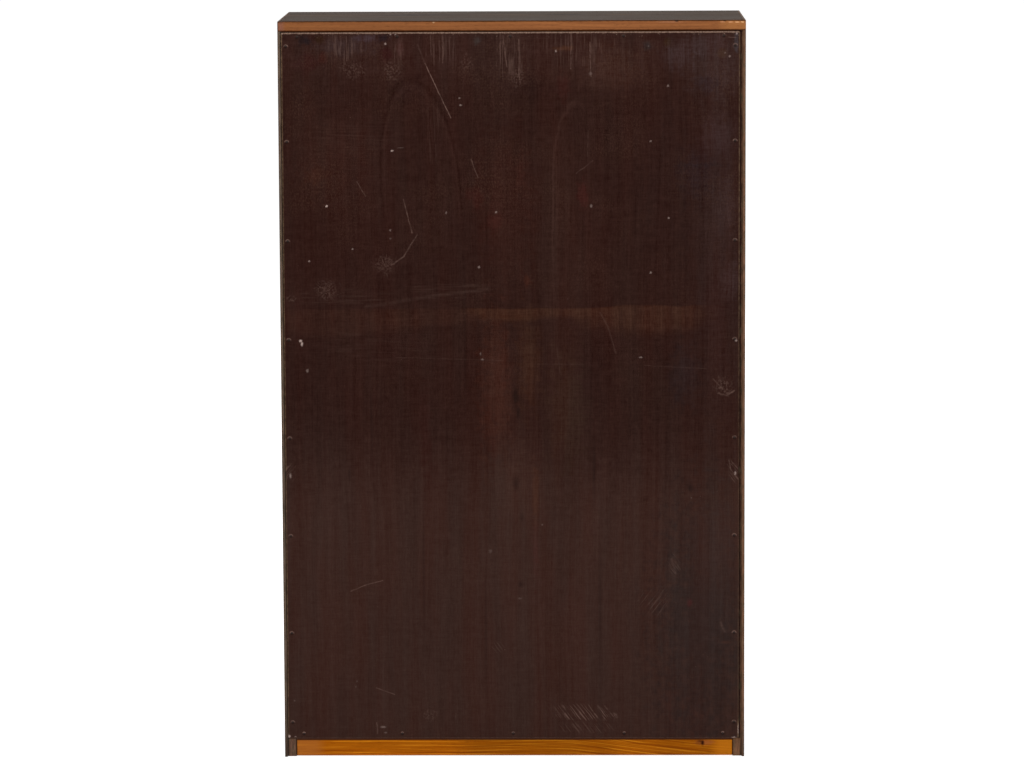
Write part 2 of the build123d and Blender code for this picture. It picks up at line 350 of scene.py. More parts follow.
@node_group(Heart=ORIGIN, Ring_Spacing=0.006, Wander=0.05, Seed=0.0)
def wood_grain(graph, spot, heart, ring_spacing, wander, seed):
    """Growth rings, streaks, fibres and pores of a board whose grain runs along the third axis."""
    place = graph.vector("ADD", spot, graph.scaled((1.7, 2.3, 3.1), seed))
    across, _, along = graph.split(graph.vector("SUBTRACT", spot, heart))
    drift = place.noise((2.0, 2.0, 1.0), 3.0).around(1.0)
    across = across + drift * wander
    depth = place.noise((0.6, 0.6, 0.9), 2.0).around(0.05)
    depth = depth + graph.maths("MULTIPLY_ADD", along, 0.06, 0.09)
    radius = graph.maths("SQRT", across * across + depth * depth)
    waver = place.noise((60.0, 60.0, 5.0), 3.0).around(0.35)
    rings = graph.line_noise(radius / ring_spacing + waver, 0.5, 4.0)
    streaks = place.noise((42.0, 42.0, 0.9), 4.0, 0.6)
    fibres = place.noise((760.0, 760.0, 11.0), 3.0, 0.6)
    pores = place.noise((1500.0, 1500.0, 85.0), 1.0)
    return {"Rings": rings.fade(0.30, 0.70),
            "Streaks": streaks.fade(0.25, 0.75),
            "Fibres": fibres.fade(0.22, 0.78),
            "Pores": pores.fade(0.60, 0.74)}


@node_group(Low=(-1.0, -1.0, -1.0), High=(1.0, 1.0, 1.0), Reach=0.0012, Ragged=0.002)
def edge_wear(graph, spot, low, high, reach, ragged):
    """How worn a place is, by how near it is to an edge of the box that the board fills."""
    over, under = graph.vector("SUBTRACT", spot, low), graph.vector("SUBTRACT", high, spot)
    a, b, c = graph.split(graph.vector("MINIMUM", over, under))
    middle = graph.most(graph.least(a, b), graph.least(graph.most(a, b), c))
    lumps = spot.noise(150.0, 4.0, 0.65).around(1.0)
    middle = middle + lumps * ragged
    return {"Wear": middle.fade(reach, 0.0)}


@node_group(Start=ORIGIN, End=(0.0, 0.0, 0.1), Width=0.001)
def scratch_line(graph, spot, start, end, width):
    """A straight scratch from one point to another."""
    along = graph.vector("SUBTRACT", end, start)
    gone = graph.vector("SUBTRACT", spot, start)
    share = graph.vector("DOT_PRODUCT", gone, along) / graph.vector("DOT_PRODUCT", along, along)
    share = graph.least(graph.most(share, 0.0), 1.0)
    away = graph.vector("LENGTH", graph.vector("SUBTRACT", gone, graph.scaled(along, share)))
    return {"Mark": away.fade(width, 0.0)}


@node_group(Centre=ORIGIN, Half_Size=(1.0, 1.0, 1.0), Core=0.2, Mottle=0.5, Fray=0.0)
def soft_patch(graph, spot, centre, half_size, core, mottle, fray):
    """An oval patch that fades out over its softer rim."""
    away = graph.vector("DIVIDE", graph.vector("SUBTRACT", spot, centre), half_size)
    fray = (mottle - 0.5) * fray
    return {"Mark": (graph.vector("LENGTH", away) + fray).fade(1.0, core)}


@node_group(Centre=ORIGIN, Half_Size=(1.0, 1.0, 1.0), Mottle=0.5, Fray=0.0)
def stroke_burst(graph, spot, centre, half_size, mottle, fray):
    """Fine strokes that spread from the middle of an oval patch."""
    away = graph.vector("DIVIDE", graph.vector("SUBTRACT", spot, centre), half_size)
    turn = graph.vector("ADD", graph.vector("NORMALIZE", away), graph.scaled(centre, 40.0))
    strokes = turn.noise(7.0, 3.0).fade(0.50, 0.64)
    fray = (mottle - 0.5) * fray
    return {"Mark": strokes * (graph.vector("LENGTH", away) + fray).fade(1.0, 0.2)}


@node_group(Amount=0.2)
def surface_dust(graph, spot, amount):
    """Fine dust that settles on faces that look upwards."""
    level = graph.split(graph.normal())[2].fade(0.6, 1.0)
    lumps = spot.noise(9.0, 5.0, 0.7)
    grains = spot.noise(900.0, 1.0)
    cover = lumps.fade(0.3, 0.8) * grains.fade(0.35, 0.7, 0.4, 1.0)
    return {"Dust": level * cover * amount}


def assign(piece, material):
    """Gives a CAD node or a new piece one material."""
    if not piece.material_slots:
        piece.data.materials.append(material)
    for place in piece.material_slots:
        place.material = material


# The back panel's marks, in millimetres from its left and bottom edges as it is seen from behind

# Side and height of the middle, half width, half height, colour, strength
PANEL_TINTS = (
    # right_margin, low_right, low_lilac, top_right, blue_patch, blue_high, blue_corner, blue_bar,
    # lilac_high, lilac_low, lilac_middle, grey_top_right and lilac_corner paint the bluish sheen of a
    # lamp's reflection along the right edge.
    ("right_margin", 745, 900, 50, 420, (53, 34, 31), 0.50),
    ("low_right", 716, 190, 90, 260, (46, 33, 30), 0.85),
    ("low_lilac", 742, 330, 34, 100, (62, 42, 37), 0.55),
    ("dark_right", 660, 960, 50, 170, (42, 23, 19), 0.60),
    ("top_middle", 565, 1168, 60, 50, (62, 39, 32), 0.75),
    ("top_right", 742, 1168, 52, 60, (58, 40, 37), 0.75),
    ("top_left", 110, 1205, 70, 20, (58, 42, 41), 0.60),
    ("red_column", 470, 900, 45, 360, (51, 29, 23), 0.50),
    ("red_left", 90, 1030, 80, 110, (53, 28, 22), 0.50),
    ("red_middle", 380, 930, 50, 160, (52, 26, 20), 0.55),
    ("dark_field", 620, 610, 120, 80, (41, 22, 17), 0.75),
    ("dark_end", 530, 627, 30, 65, (41, 20, 16), 0.60),
    ("dark_left", 560, 520, 50, 60, (42, 22, 17), 0.55),
    ("blue_patch", 690, 635, 30, 60, (42, 27, 26), 0.65),
    ("blue_high", 712, 985, 34, 50, (42, 27, 28), 0.65),
    ("blue_corner", 728, 1140, 22, 20, (42, 28, 30), 0.60),
    ("blue_bar", 715, 1000, 45, 6, (36, 24, 25), 0.50),
    ("red_blotch", 483, 1136, 13, 26, (60, 29, 25), 0.60),
    ("lilac_high", 750, 1050, 34, 40, (62, 43, 42), 0.50),
    ("lilac_low", 768, 800, 18, 40, (62, 43, 41), 0.60),
    ("lilac_middle", 760, 930, 22, 60, (60, 42, 40), 0.45),
    ("red_strip", 243, 540, 12, 100, (52, 26, 21), 0.60),
    ("orange_spot", 482, 1200, 20, 5, (80, 48, 31), 0.50),
    ("red_corner", 762, 169, 12, 3, (66, 40, 32), 0.60),
    ("wine_spot", 700, 239, 6, 8, (76, 34, 34), 0.45),
    ("pink_left", 203, 1201, 8, 18, (86, 58, 54), 0.40),
    ("rust_left", 43, 1214, 7, 7, (62, 54, 52), 0.45),
    ("rust_middle", 336, 1213, 8, 9, (64, 54, 50), 0.50),
    ("rust_right", 627, 1206, 9, 8, (58, 48, 46), 0.45),
    ("rust_corner", 778, 1208, 4, 22, (66, 58, 60), 0.60),
    ("red_heart", 365, 615, 32, 150, (61, 33, 25), 0.85),
    ("orange_high", 423, 665, 22, 95, (62, 37, 26), 0.60),
    ("orange_low", 432, 432, 7, 55, (71, 41, 28), 0.70),
    ("red_tail", 433, 330, 6, 60, (66, 38, 33), 0.60),
    ("olive_column", 487, 571, 36, 130, (57, 37, 28), 0.55),
    ("pale_column", 398, 440, 60, 100, (60, 38, 31), 0.60),
    ("dark_high", 424, 1132, 40, 28, (38, 19, 15), 0.70),
    ("dark_high_left", 216, 1132, 28, 28, (38, 19, 16), 0.70),
    ("dark_red_left", 46, 1176, 28, 18, (50, 22, 20), 0.70),
    ("wine_hill", 515, 951, 11, 26, (58, 27, 23), 0.80),
    ("wine_low", 421, 801, 8, 14, (62, 31, 22), 0.70),
    ("red_dot_field", 365, 905, 16, 18, (56, 25, 20), 0.70),
    ("red_dot_side", 330, 946, 17, 20, (55, 25, 20), 0.70),
    ("red_far_left", 59, 984, 22, 18, (56, 29, 21), 0.70),
    ("red_centre", 409, 990, 8, 40, (58, 31, 25), 0.70),
    ("blue_corner_left", 44, 1214, 13, 10, (30, 20, 22), 1.00),
    ("olive_corner_left", 67, 1216, 9, 9, (46, 27, 15), 0.90),
    ("lilac_top", 143, 1219, 22, 7, (66, 51, 55), 0.95),
    ("blue_top", 176, 1219, 11, 8, (31, 21, 26), 1.00),
    ("wine_top", 181, 1191, 15, 14, (46, 19, 17), 0.95),
    ("wine_left", 72, 1185, 9, 11, (56, 26, 21), 0.90),
    ("green_spot", 628, 1204, 10, 9, (46, 36, 35), 0.90),
    ("olive_spot", 660, 1210, 8, 9, (54, 35, 20), 0.90),
    ("grey_top_right", 680, 1190, 32, 30, (66, 49, 48), 0.60),
    ("lilac_corner", 728, 1206, 36, 20, (69, 51, 50), 0.50),
    ("olive_corner", 754, 1191, 10, 10, (68, 48, 34), 0.45),
)

BAND_STAINS = (
    ("middle", 385, 756, 66, 22, (66, 37, 23), 0.75),
    ("between", 470, 755, 110, 18, (60, 35, 25), 0.75),
    ("right", 610, 756, 105, 46, (61, 35, 25), 0.75),
    ("far_left", 90, 732, 140, 26, (57, 32, 24), 0.42),
    ("left", 240, 740, 120, 16, (57, 32, 24), 0.42),
)

KNOTS = (
    ("upper", 399, 601, 9, 22, 0.85),
    ("upper_tail", 403.5, 572, 5, 16, 0.75),
    ("middle", 399, 449, 10, 20, 0.60),
    ("lower", 409, 390, 6, 12, 0.45),
    ("left", 111, 466, 4, 18, 0.50),
    ("right", 700, 442, 8, 12, 0.60),
    ("low", 407, 272, 8, 9, 0.50),
    ("dark_line", 534, 475, 5, 80, 0.50),
    ("low_line_left", 238.5, 300, 4, 180, 0.35),
    ("low_line_middle", 346, 200, 4, 170, 0.32),
    ("low_line_right", 544, 220, 6, 210, 0.36),
    ("high_line_left", 150, 560, 4, 120, 0.30),
    ("high_line_middle", 312, 700, 4, 200, 0.30),
)

# Side and height of both ends, width, strength
SCRATCHES = (
    (234, 1207, 246, 1176, 2.2, 0.14),
    (246, 1176, 290, 1082, 1.4, 1.00),
    (324, 1011, 336, 980, 1.5, 0.50),
    (128, 973, 143, 948, 1.5, 0.42),
    (208, 942, 222, 885, 1.8, 0.55),
    (231, 881, 208, 845, 1.9, 0.50),
    (208, 845, 187, 829, 2.2, 0.50),
    (505, 986, 533, 1008, 1.6, 0.24),
    (545, 746, 559, 720, 2.4, 0.16),
    (559, 720, 572, 675, 2.4, 0.16),
    (112, 260, 131, 269, 1.5, 0.40),
    (131, 269, 167, 279, 1.5, 0.50),
    (155, 89, 186, 78, 1.5, 0.38),
    (496, 1226, 496, 1165, 1.5, 0.60),
    (528, 1211, 530, 1152, 1.6, 0.60),
    (407, 1216, 407, 1147, 1.5, 0.40),
    (525, 1060, 524, 1015, 1.4, 0.14),
    (155, 28, 156, 8, 1.5, 0.45),
    (193, 669, 378, 663, 1.5, 0.10),
    (437, 657, 516, 656, 1.5, 0.08),
    (622, 654, 728, 648, 1.5, 0.12),
    (142, 757, 230, 771, 6, 0.09),
    (230, 771, 352, 787, 5, 0.09),
    (276, 1224, 277, 1176, 1.5, 0.45),
    (256, 1224, 257, 1190, 1.5, 0.35),
    (380, 1222, 386, 1170, 1.8, 0.45),
    (112, 1222, 113, 1180, 1.5, 0.35),
    (668, 316, 675, 291, 3.4, 0.24),
    (675, 311, 683, 297, 2.6, 0.22),
    (753, 204, 760, 188, 3.6, 0.26),
    (767, 489, 771, 468, 1.5, 0.45),
    (772, 466, 784, 455, 2.2, 0.45),
    (470, 690, 476, 640, 2, 0.10),
    (754, 617, 749, 635, 1.8, 0.28),
    (740, 630, 756, 612, 2, 0.28),
    (765, 603, 776, 610, 2.6, 0.55),
    (748, 605, 765, 601, 2, 0.35),
    (765, 1218.5, 777, 1218, 1.5, 0.42),
)

# Side and height of the middle, half width, half height, strength
SPECKS = (
    (179, 1209, 2.8, 3, 0.64),
    (189, 1026, 3.6, 2.2, 0.78),
    (204, 1031, 8, 1.4, 0.14),
    (305, 1116, 2.6, 2.2, 0.31),
    (307, 1104, 3.6, 2.6, 0.38),
    (76, 931, 2.6, 2.6, 1.00),
    (470, 1195.5, 2.8, 3.2, 0.48),
    (662, 1136, 2.8, 2.8, 0.38),
    (632, 1041, 2.8, 2.8, 0.32),
    (767, 1186, 2.8, 2.8, 0.34),
    (530, 930, 3.4, 4.6, 0.28),
    (663, 909, 2.6, 2.8, 0.50),
    (632, 815, 2.6, 2.8, 0.45),
    (185, 889, 2.6, 3.2, 0.26),
    (185, 875, 2.4, 2.6, 0.12),
    (120, 857, 2.2, 2.4, 0.38),
    (45, 836, 2.6, 2.6, 0.38),
    (281, 919, 1.8, 4, 0.24),
    (367, 920, 2.8, 2.8, 0.40),
    (337, 825, 3, 3, 0.40),
    (342, 665, 4, 2.4, 0.24),
    (339, 675, 2, 4, 0.22),
    (615, 668, 5.5, 2, 0.32),
    (40, 646, 3.2, 4.4, 0.30),
    (29, 698, 4, 3.4, 1.00),
    (31, 693, 2.8, 6.2, 0.85),
    (444, 376, 2.4, 2.4, 0.12),
    (354, 330, 5, 5, 0.08),
    (121, 101, 2.2, 2.2, 0.10),
    (119, 91, 1.8, 2.4, 0.11),
    (12, 67, 2.2, 2.2, 0.12),
    (529, 1157, 4, 5, 0.14),
    (702, 423, 1.8, 2.2, 0.12),
    (405, 247, 6, 2.4, 0.08),
    (778, 466, 2.6, 4.6, 0.55),
    (9, 463, 3, 6, 0.45),
    (779, 697, 3.2, 3, 0.50),
    (2, 4, 3.2, 4, 1.00),
    (2, 1226.4, 3, 1.6, 0.60),
    (779, 1225, 2, 3.4, 0.55),
    (759, 1192, 2.2, 2.2, 0.16),
    (628, 1203.5, 1.8, 1.8, 0.14),
    (13, 3, 2.4, 1.6, 0.45),
    (784, 15, 1.4, 13, 0.70),
    (776, 1, 6, 1.8, 0.65),
    (188, 1224.5, 2.6, 1.4, 0.60),
    (196, 1224.5, 2, 1.4, 0.60),
    (166, 20, 7, 3, 0.26),
    (170, 10, 3.6, 2.4, 0.18),
)

SCUFFS = (
    ("top_left", 108, 1200, 40, 32, "upright", 0.34),
    ("top_left_low", 122, 1165, 30, 22, "haze", 0.30),
    ("top_bar", 190, 1163, 20, 22, "haze", 0.35),
    ("top_pink", 200, 1195, 12, 28, "upright", 0.45),
    ("top_mid", 277, 1196, 40, 36, "upright", 0.27),
    ("top_mid_end", 318, 1174, 14, 22, "haze", 0.28),
    ("top_centre", 392, 1190, 36, 50, "upright", 0.37),
    ("top_centre_foot", 404, 1150, 20, 22, "haze", 0.35),
    ("top_far", 510, 1200, 100, 40, "upright", 0.22),
    ("hill_left", 262, 1060, 20, 90, "upright", 0.12),
    ("burst_a", 176, 824.6, 24, 22, "burst", 0.34),
    ("burst_a_web", 176, 830, 26, 20, "haze", 0.34),
    ("burst_b", 75, 783.7, 26, 26, "burst", 0.34),
    ("burst_b_web", 75, 786, 30, 24, "haze", 0.34),
    ("burst_c", 14, 771, 14, 8, "haze", 0.35),
    ("swirl", 758, 618, 22, 22, "haze", 0.42),
    ("streak", 673, 306, 12, 24, "falling", 0.35),
    ("right_low", 640, 240, 34, 30, "rising", 0.26),
    ("hatch", 518, 40, 68, 12, "falling", 0.80),
    ("hatch_high", 510, 52, 68, 10, "falling", 0.45),
    ("hatch_tail", 520, 18, 64, 14, "falling", 0.30),
    ("low_left", 300, 42, 12, 18, "upright", 0.32),
    ("low_smudge", 248, 42, 18, 14, "haze", 0.24),
    ("mid_low", 367, 160, 14, 14, "falling", 0.20),
    ("right_edge", 776, 470, 12, 26, "falling", 0.55),
    ("left_edge", 8, 468, 12, 22, "rising", 0.55),
    ("left_wash", 100, 772, 120, 20, "level", 0.11),
    ("middle_wash", 290, 785, 100, 20, "level", 0.12),
    ("low_wash", 150, 690, 140, 50, "level", 0.06),
    ("high_wash", 120, 1050, 110, 50, "level", 0.06),
)


def oval(side, rise, wide, high):
    """The feeds that put a patch on the panel's face, from millimetres."""
    return {"Centre": (side / 1000, 0.0, rise / 1000), "Half_Size": (wide / 1000, 1.0, high / 1000)}


def panel_marks(graph, face, across, up, mottle):
    """The pale scratches, flecks and scuffs of the back panel's rear face, and its dark knots."""
    scratch, patch, spray = scratch_line(), soft_patch(), stroke_burst()
    wander = face.noise(60.0, 3.0).around(0.0018)
    wavy = graph.vector("ADD", face, graph.join(wander, 0.0, wander * -0.7))
    broken = face.noise(90.0, 4.0, 0.7).fade(0.34, 0.62, 0.25, 1.0)
    ragged = face.noise(420.0, 2.0).around(0.0024)
    rough = graph.vector("ADD", face, graph.join(ragged, 0.0, ragged * 0.8))

    lines = 0.0
    for *ends, width, strength in SCRATCHES:
        side, rise, end_side, end_rise = (end / 1000 for end in ends)
        mark = graph.group(scratch, Vector=wavy, Width=width / 1000, Start=(side, 0.0, rise),
                           End=(end_side, 0.0, end_rise))["Mark"]
        lines = graph.most(lines, mark * strength)
    lines = lines * broken

    def patches(spots, core):
        cover = 0.0
        for name, *place, strength in spots:
            mark = graph.group(patch, name, Vector=rough, **oval(*place), Core=core)["Mark"]
            cover = graph.most(cover, mark * strength)
        return cover

    chips = patches([("speck", *speck) for speck in SPECKS], 0.1)
    knots = patches(KNOTS, 0.0)

    web = face.noise((260.0, 240.0), 3.0, 0.6)
    strokes = {"haze": web.fade(0.46, 0.62),
               "level": face.noise((14.0, 300.0), 3.0, 0.65).fade(0.46, 0.64)}
    for name, slope in (("upright", 0.0), ("rising", 0.75), ("falling", -0.75)):
        cross = across + up * -slope
        run = up + across * slope
        field = graph.join(cross, 0.0, run).noise((300.0, 16.0), 3.0, 0.6)
        strokes[name] = field.fade(0.50, 0.61)

    scuffed = 0.0
    for name, *place, lean, strength in SCUFFS:
        feeds = {"Vector": rough, **oval(*place), "Mottle": mottle, "Fray": 2.0}
        if lean == "burst":
            mark = graph.group(spray, name, **feeds)["Mark"]
        else:
            mark = graph.group(patch, name, **feeds, Core=0.3)["Mark"] * strokes[lean]
        scuffed = graph.most(scuffed, mark * strength)
    return lines, chips, knots, scuffed


def lay_tints(graph, spots, place, mottle, core, fray, share=1.0):
    """Lays a list of coloured patches: stains, and along the panel's right edge a painted sheen."""
    patch = soft_patch()
    for name, side, rise, wide, high, colour, strength in spots:
        mark = graph.group(patch, name, Vector=place, **oval(side, rise, wide * 1.3, high * 1.25),
                           Core=core, Mottle=mottle, Fray=fray)["Mark"]
        graph.lay(mark * (share * strength), paint(*colour))


def pin_glints_and_shade(graph, across, up, wide, tall):
    """Painted highlights on the panel, arcs over the side pins and dots over the bottom pins, and painted
    shade under all the pins.
    """
    wanted = sizes()
    middle = tall / 2
    inset = wanted.pin_side_inset
    first, last = wanted.pin_bottom_inset, tall - wanted.pin_top_inset
    half_pitch = wanted.pin_pitch / 2
    column = graph.maths("WRAP", up - (middle - half_pitch), half_pitch, -half_pitch)
    low_end = up.fade(first + 0.0401, first + 0.0400)
    high_end = up.fade(last - 0.0401, last - 0.0400)
    between = 1.0 - low_end - high_end
    rise = column * between + (up - first) * low_end + (up - last) * high_end
    side = graph.least(abs(across - inset), abs(across - (wide - inset)))

    from_middle = abs(across - wide / 2)
    half_row = wide / 2 - wanted.row_end_inset
    along = from_middle
    for share in PIN_ROW_SHARES[3:]:
        along = graph.least(along, abs(from_middle - half_row * share))
    upper = up.fade(middle - 0.0001, middle + 0.0001)
    foot = up - wanted.row_bottom_rise
    row = foot - upper * (tall - wanted.row_top_inset - wanted.row_bottom_rise)

    def shape(offset, height, half_size):
        away = graph.vector("DIVIDE", graph.join(offset, 0.0, height), half_size)
        return graph.vector("LENGTH", away)

    # pale gathers the painted highlights, dark the painted shade under the pins.
    pale, dark = 0.0, 0.0
    for offset, height in ((side, rise), (along, row)):
        arc = shape(offset, height + 0.0008, (0.0042, 1.0, 0.0040))
        arc = abs(arc - 0.8).fade(0.36, 0.08) * height.fade(-0.0022, 0.0006)
        if height is row:
            dot = shape(offset, height - 0.0014, (0.0032, 1.0, 0.0018))
            dot = dot.fade(1.1, 0.5) * 1.9
            arc = dot * (1.0 - upper) + arc * (upper * 0.25)
        pale = graph.most(pale, arc)
        shade_under = shape(offset, height + 0.0016, (0.0036, 1.0, 0.0034))
        dark = graph.most(dark, shade_under.fade(1.1, 0.3))
    return pale, dark


def panel_material():
    """Plywood stained dark red-brown, pale and scratched where it has been knocked, with painted
    highlights and shade at the pins and a painted sheen along its right edge.
    """
    colours = finishes()
    graph = MaterialGraph("stained_plywood", 0.62, 0.05)
    x, y, z = graph.split(graph.place)
    tall = PANEL_HIGH.z - PANEL_LOW.z
    wide = PANEL_HIGH.x - PANEL_LOW.x
    across = PANEL_HIGH.x - x
    up = z - PANEL_LOW.z
    face = graph.join(across, 0.0, up)
    rear = y.fade(PANEL_HIGH.y - 0.0020, PANEL_HIGH.y - 0.0012)

    swayed = across + face.noise((5.0, 2.2), 3.0).around(0.010)
    grained = graph.join(swayed, 0.0, up)
    mottle = face.noise((70.0, 60.0), 5.0, 0.72)
    clouds = face.noise((9.0, 6.0), 4.0, 0.62)
    bands = grained.noise((22.0, 0.9), 3.0, 0.6)
    stripes = grained.noise((110.0, 3.5), 3.0, 0.65)
    hairs = grained.noise((330.0, 7.0), 2.0, 0.6)
    brushed = face.noise((16.0, 130.0), 3.0, 0.65)
    warp = face.noise((430.0, 80.0), 2.0, 0.6)
    weft = face.noise((60.0, 430.0), 2.0, 0.6)
    hue = grained.noise((26.0, 3.0), 2.0, 0.6).fade(0.3, 0.7).around(0.055)

    def hill(centre, lean, foot, slope):
        """Distance from the middle of a cathedral figure, whose arch closes above the foot."""
        cross = swayed - graph.maths("MULTIPLY_ADD", up, -lean, centre + lean * 1.145)
        climb = graph.most(up - foot, 0.0) * slope
        radius = graph.maths("SQRT", cross * cross + climb * climb)
        return radius + mottle.around(0.005)

    def contour(field, radius, fall):
        """A line along the arch, 3 mm to each side of its radius."""
        return abs(field - radius).fade(0.0030, 0.0) * fall

    left_hill = hill(0.225, 0.07, 0.958, 0.35)
    right_hill = hill(0.506, 0.0, 0.966, 0.30)
    rings = graph.line_noise(graph.maths("SMOOTH_MIN", left_hill, right_hill, 0.03), 105.0, 3.0)
    left_fall = up.fade(0.84, 0.98)
    right_fall = up.fade(0.70, 0.84)
    left_inside = left_hill.fade(0.068, 0.061) * left_fall
    right_inside = right_hill.fade(0.0445, 0.0405) * right_fall
    left_line = contour(left_hill, 0.0665, left_fall)
    left_pale = contour(left_hill, 0.0620, left_fall)
    right_line = contour(right_hill, 0.0425, right_fall * across.fade(0.535, 0.50))
    grain = graph.group(wood_grain(), Vector=graph.join(swayed, y, up), Seed=3.0, Ring_Spacing=0.0040,
                        Heart=(0.35, 0.0, 0.0))

    graph.show(graph.blend(up.fade(0.60, 0.36), colours.stain, colours.stain_haze))
    graph.lay(up.fade(1.10, 1.20, 0.0, 0.35), paint(58, 36, 31))
    # Stains, with a painted reflection along the right edge.
    lay_tints(graph, PANEL_TINTS, face, mottle, 0.1, 2.4)
    band_top = across.fade(0.46, 0.60, 0.7530, 0.7575)
    band_top = band_top + face.noise((14.0, 1.0), 4.0).around(0.006)
    in_band = (up - band_top).fade(0.0020, -0.0020) * stripes.fade(0.34, 0.60, 0.65, 1.1)
    lay_tints(graph, BAND_STAINS, face, clouds, 0.45, 1.2, in_band)

    coarse = bands.fade(0.3, 0.7).around(0.04)
    for part, amount in ((clouds, 0.045), (rings, 0.03), (stripes, 0.075)):
        coarse = coarse + part.fade(0.25, 0.75).around(amount)
    fine = grain["Fibres"].around(0.04)
    weaves = ((mottle, 0.070), (hairs, 0.055), (warp, 0.070), (weft, 0.060), (brushed, 0.045))
    for part, amount in weaves:
        fine = fine + part.fade(0.25, 0.75).around(amount)
    fine = fine - grain["Pores"] * 0.12
    tone = coarse * up.fade(0.34, 0.62, 1.0, 1.4) + fine * up.fade(0.34, 0.62, 1.0, 2.0)
    tone = tone + graph.most(left_inside, right_inside) * 0.05
    tone = tone + (right_line * 0.34 + left_pale * 0.18) - left_line * 0.21
    red = 1.0 + tone + hue * 0.6
    green = graph.maths("MULTIPLY_ADD", tone, 1.5, 1.0) - hue
    blue = graph.maths("MULTIPLY_ADD", tone, 1.7, 1.0) - hue * 1.5
    tint = graph.join(red, green, blue)
    graph.tint(tint)

    lines, chips, knots, scuffed = panel_marks(graph, face, across, up, mottle)
    # Painted highlights over the pins, and painted shade under them.
    pale, dark = pin_glints_and_shade(graph, across, up, wide, tall)
    pale = pale * mottle.fade(0.36, 0.60, 0.35, 0.9)
    worn = face.noise((7.0, 9.0), 5.0, 0.6).fade(0.42, 0.66)
    worn = worn * face.noise((420.0, 260.0), 2.0, 0.6).fade(0.46, 0.66)
    worn = worn * up.fade(0.60, 1.16, 0.05, 0.17)
    graph.lay(worn, paint(104, 76, 60))
    # Dark knots, and the painted shade under the pins.
    graph.lay(graph.most(knots * 0.9, dark * 0.65), paint(27, 14, 11))
    graph.lay(scuffed * 0.50, colours.scratch)
    graph.lay(lines * 0.60, colours.scratch)
    flecks = face.noise((250.0, 220.0), 1.0)
    graph.lay(flecks.fade(0.79, 0.86, 0.0, 0.35), colours.scratch)
    # The painted highlights over the pins.
    graph.lay(pale * 0.55, colours.scratch)

    dots = face.noise((110.0, 110.0), 4.0, 0.75).fade(0.40, 0.60)
    top_rim = (up + dots.around(0.0003)).fade(tall - 0.0031, tall - 0.0016)
    frayed = up.fade(tall - 0.012, tall - 0.002) * flecks.fade(0.66, 0.76, 0.0, 0.5)
    left_rim = across.fade(0.0032, 0.0008) * up.fade(1.10, 1.20, 0.50, 0.75)
    right_share = up.fade(0.50, 0.90, 0.15, 0.36) + up.fade(0.035, 0.025, 0.0, 0.5)
    right_rim = across.fade(wide - 0.0032, wide - 0.0012) * right_share
    foot_rim = up.fade(0.0020, 0.0008, 0.0, 0.15)
    rim = top_rim * (0.45 + warp.fade(0.34, 0.60) * 0.45)
    other_rims = graph.most(graph.most(left_rim, right_rim), foot_rim)
    rim = graph.most(rim, other_rims * (0.35 + dots * 0.65))
    at_left = across.fade(0.004, 0.002)
    at_sides = graph.most(at_left, across.fade(wide - 0.004, wide - 0.002))
    rim_colour = graph.blend(at_sides, paint(166, 136, 118), paint(146, 118, 90))
    graph.lay(graph.most(rim * 0.80, frayed), rim_colour)
    graph.lay(chips * 0.80, colours.bare)

    inner = graph.tinted(graph.blend(grain["Rings"], colours.veneer_deep, colours.veneer), tint)
    plies = graph.maths("PINGPONG", y - PANEL_LOW.y, 0.0013)
    edge = graph.blend(plies.fade(0.0004, 0.0009), paint(64, 40, 28), paint(112, 82, 58))
    on_edge = abs(graph.split(graph.normal())[1]).fade(0.35, 0.15)
    graph.show(graph.blend(rear, inner, graph.colour))
    graph.lay(on_edge * 0.8, edge)
    graph.give("Roughness", 0.60 + clouds.around(0.08) + scuffed * 0.15)
    graph.relief(grain["Fibres"] * 0.35 + (1.0 - grain["Pores"]) * 0.3, 0.00012)
    return graph.material


# Boards, lippings and rails

# Spot along the rear lipping, half length, drop from its top edge, colour, strength
LIPPING_CHIPS = (
    (-0.3935, 0.0040, 0.0034, (232, 176, 124), 0.95),
    (-0.3850, 0.0048, 0.0036, (226, 168, 120), 0.90),
    (-0.3740, 0.0056, 0.0034, (220, 158, 112), 0.80),
    (-0.3600, 0.0060, 0.0031, (206, 144, 102), 0.60),
    (-0.3640, 0.0036, 0.0012, (34, 16, 8), 0.90),
    (-0.2820, 0.0046, 0.0017, (28, 12, 6), 1.20),
    (-0.2700, 0.0300, 0.0030, (176, 122, 92), 0.45),
    (0.1330, 0.0026, 0.0024, (206, 166, 126), 0.70),
)

# Where the rail's knot is, and its halos: shift, half size, colour, strength
RAIL_KNOT = Vector((-0.3275, 0.160, 0.0235))
RAIL_HALOS = (
    ((-0.0040, 0.0, 0.0000), (0.0240, 1.0, 0.0070), (164, 94, 50), 0.60),
    ((0.0060, 0.0, 0.0000), (0.0110, 1.0, 0.0070), (104, 48, 12), 0.55),
    ((0.0040, 0.0, 0.0026), (0.0070, 1.0, 0.0030), (52, 18, 4), 0.60),
    ((0.0, 0.0, -0.0010), (0.0048, 1.0, 0.0074), (48, 16, 4), 1.00),
)

VENEER_WORN = (112, 86, 64)


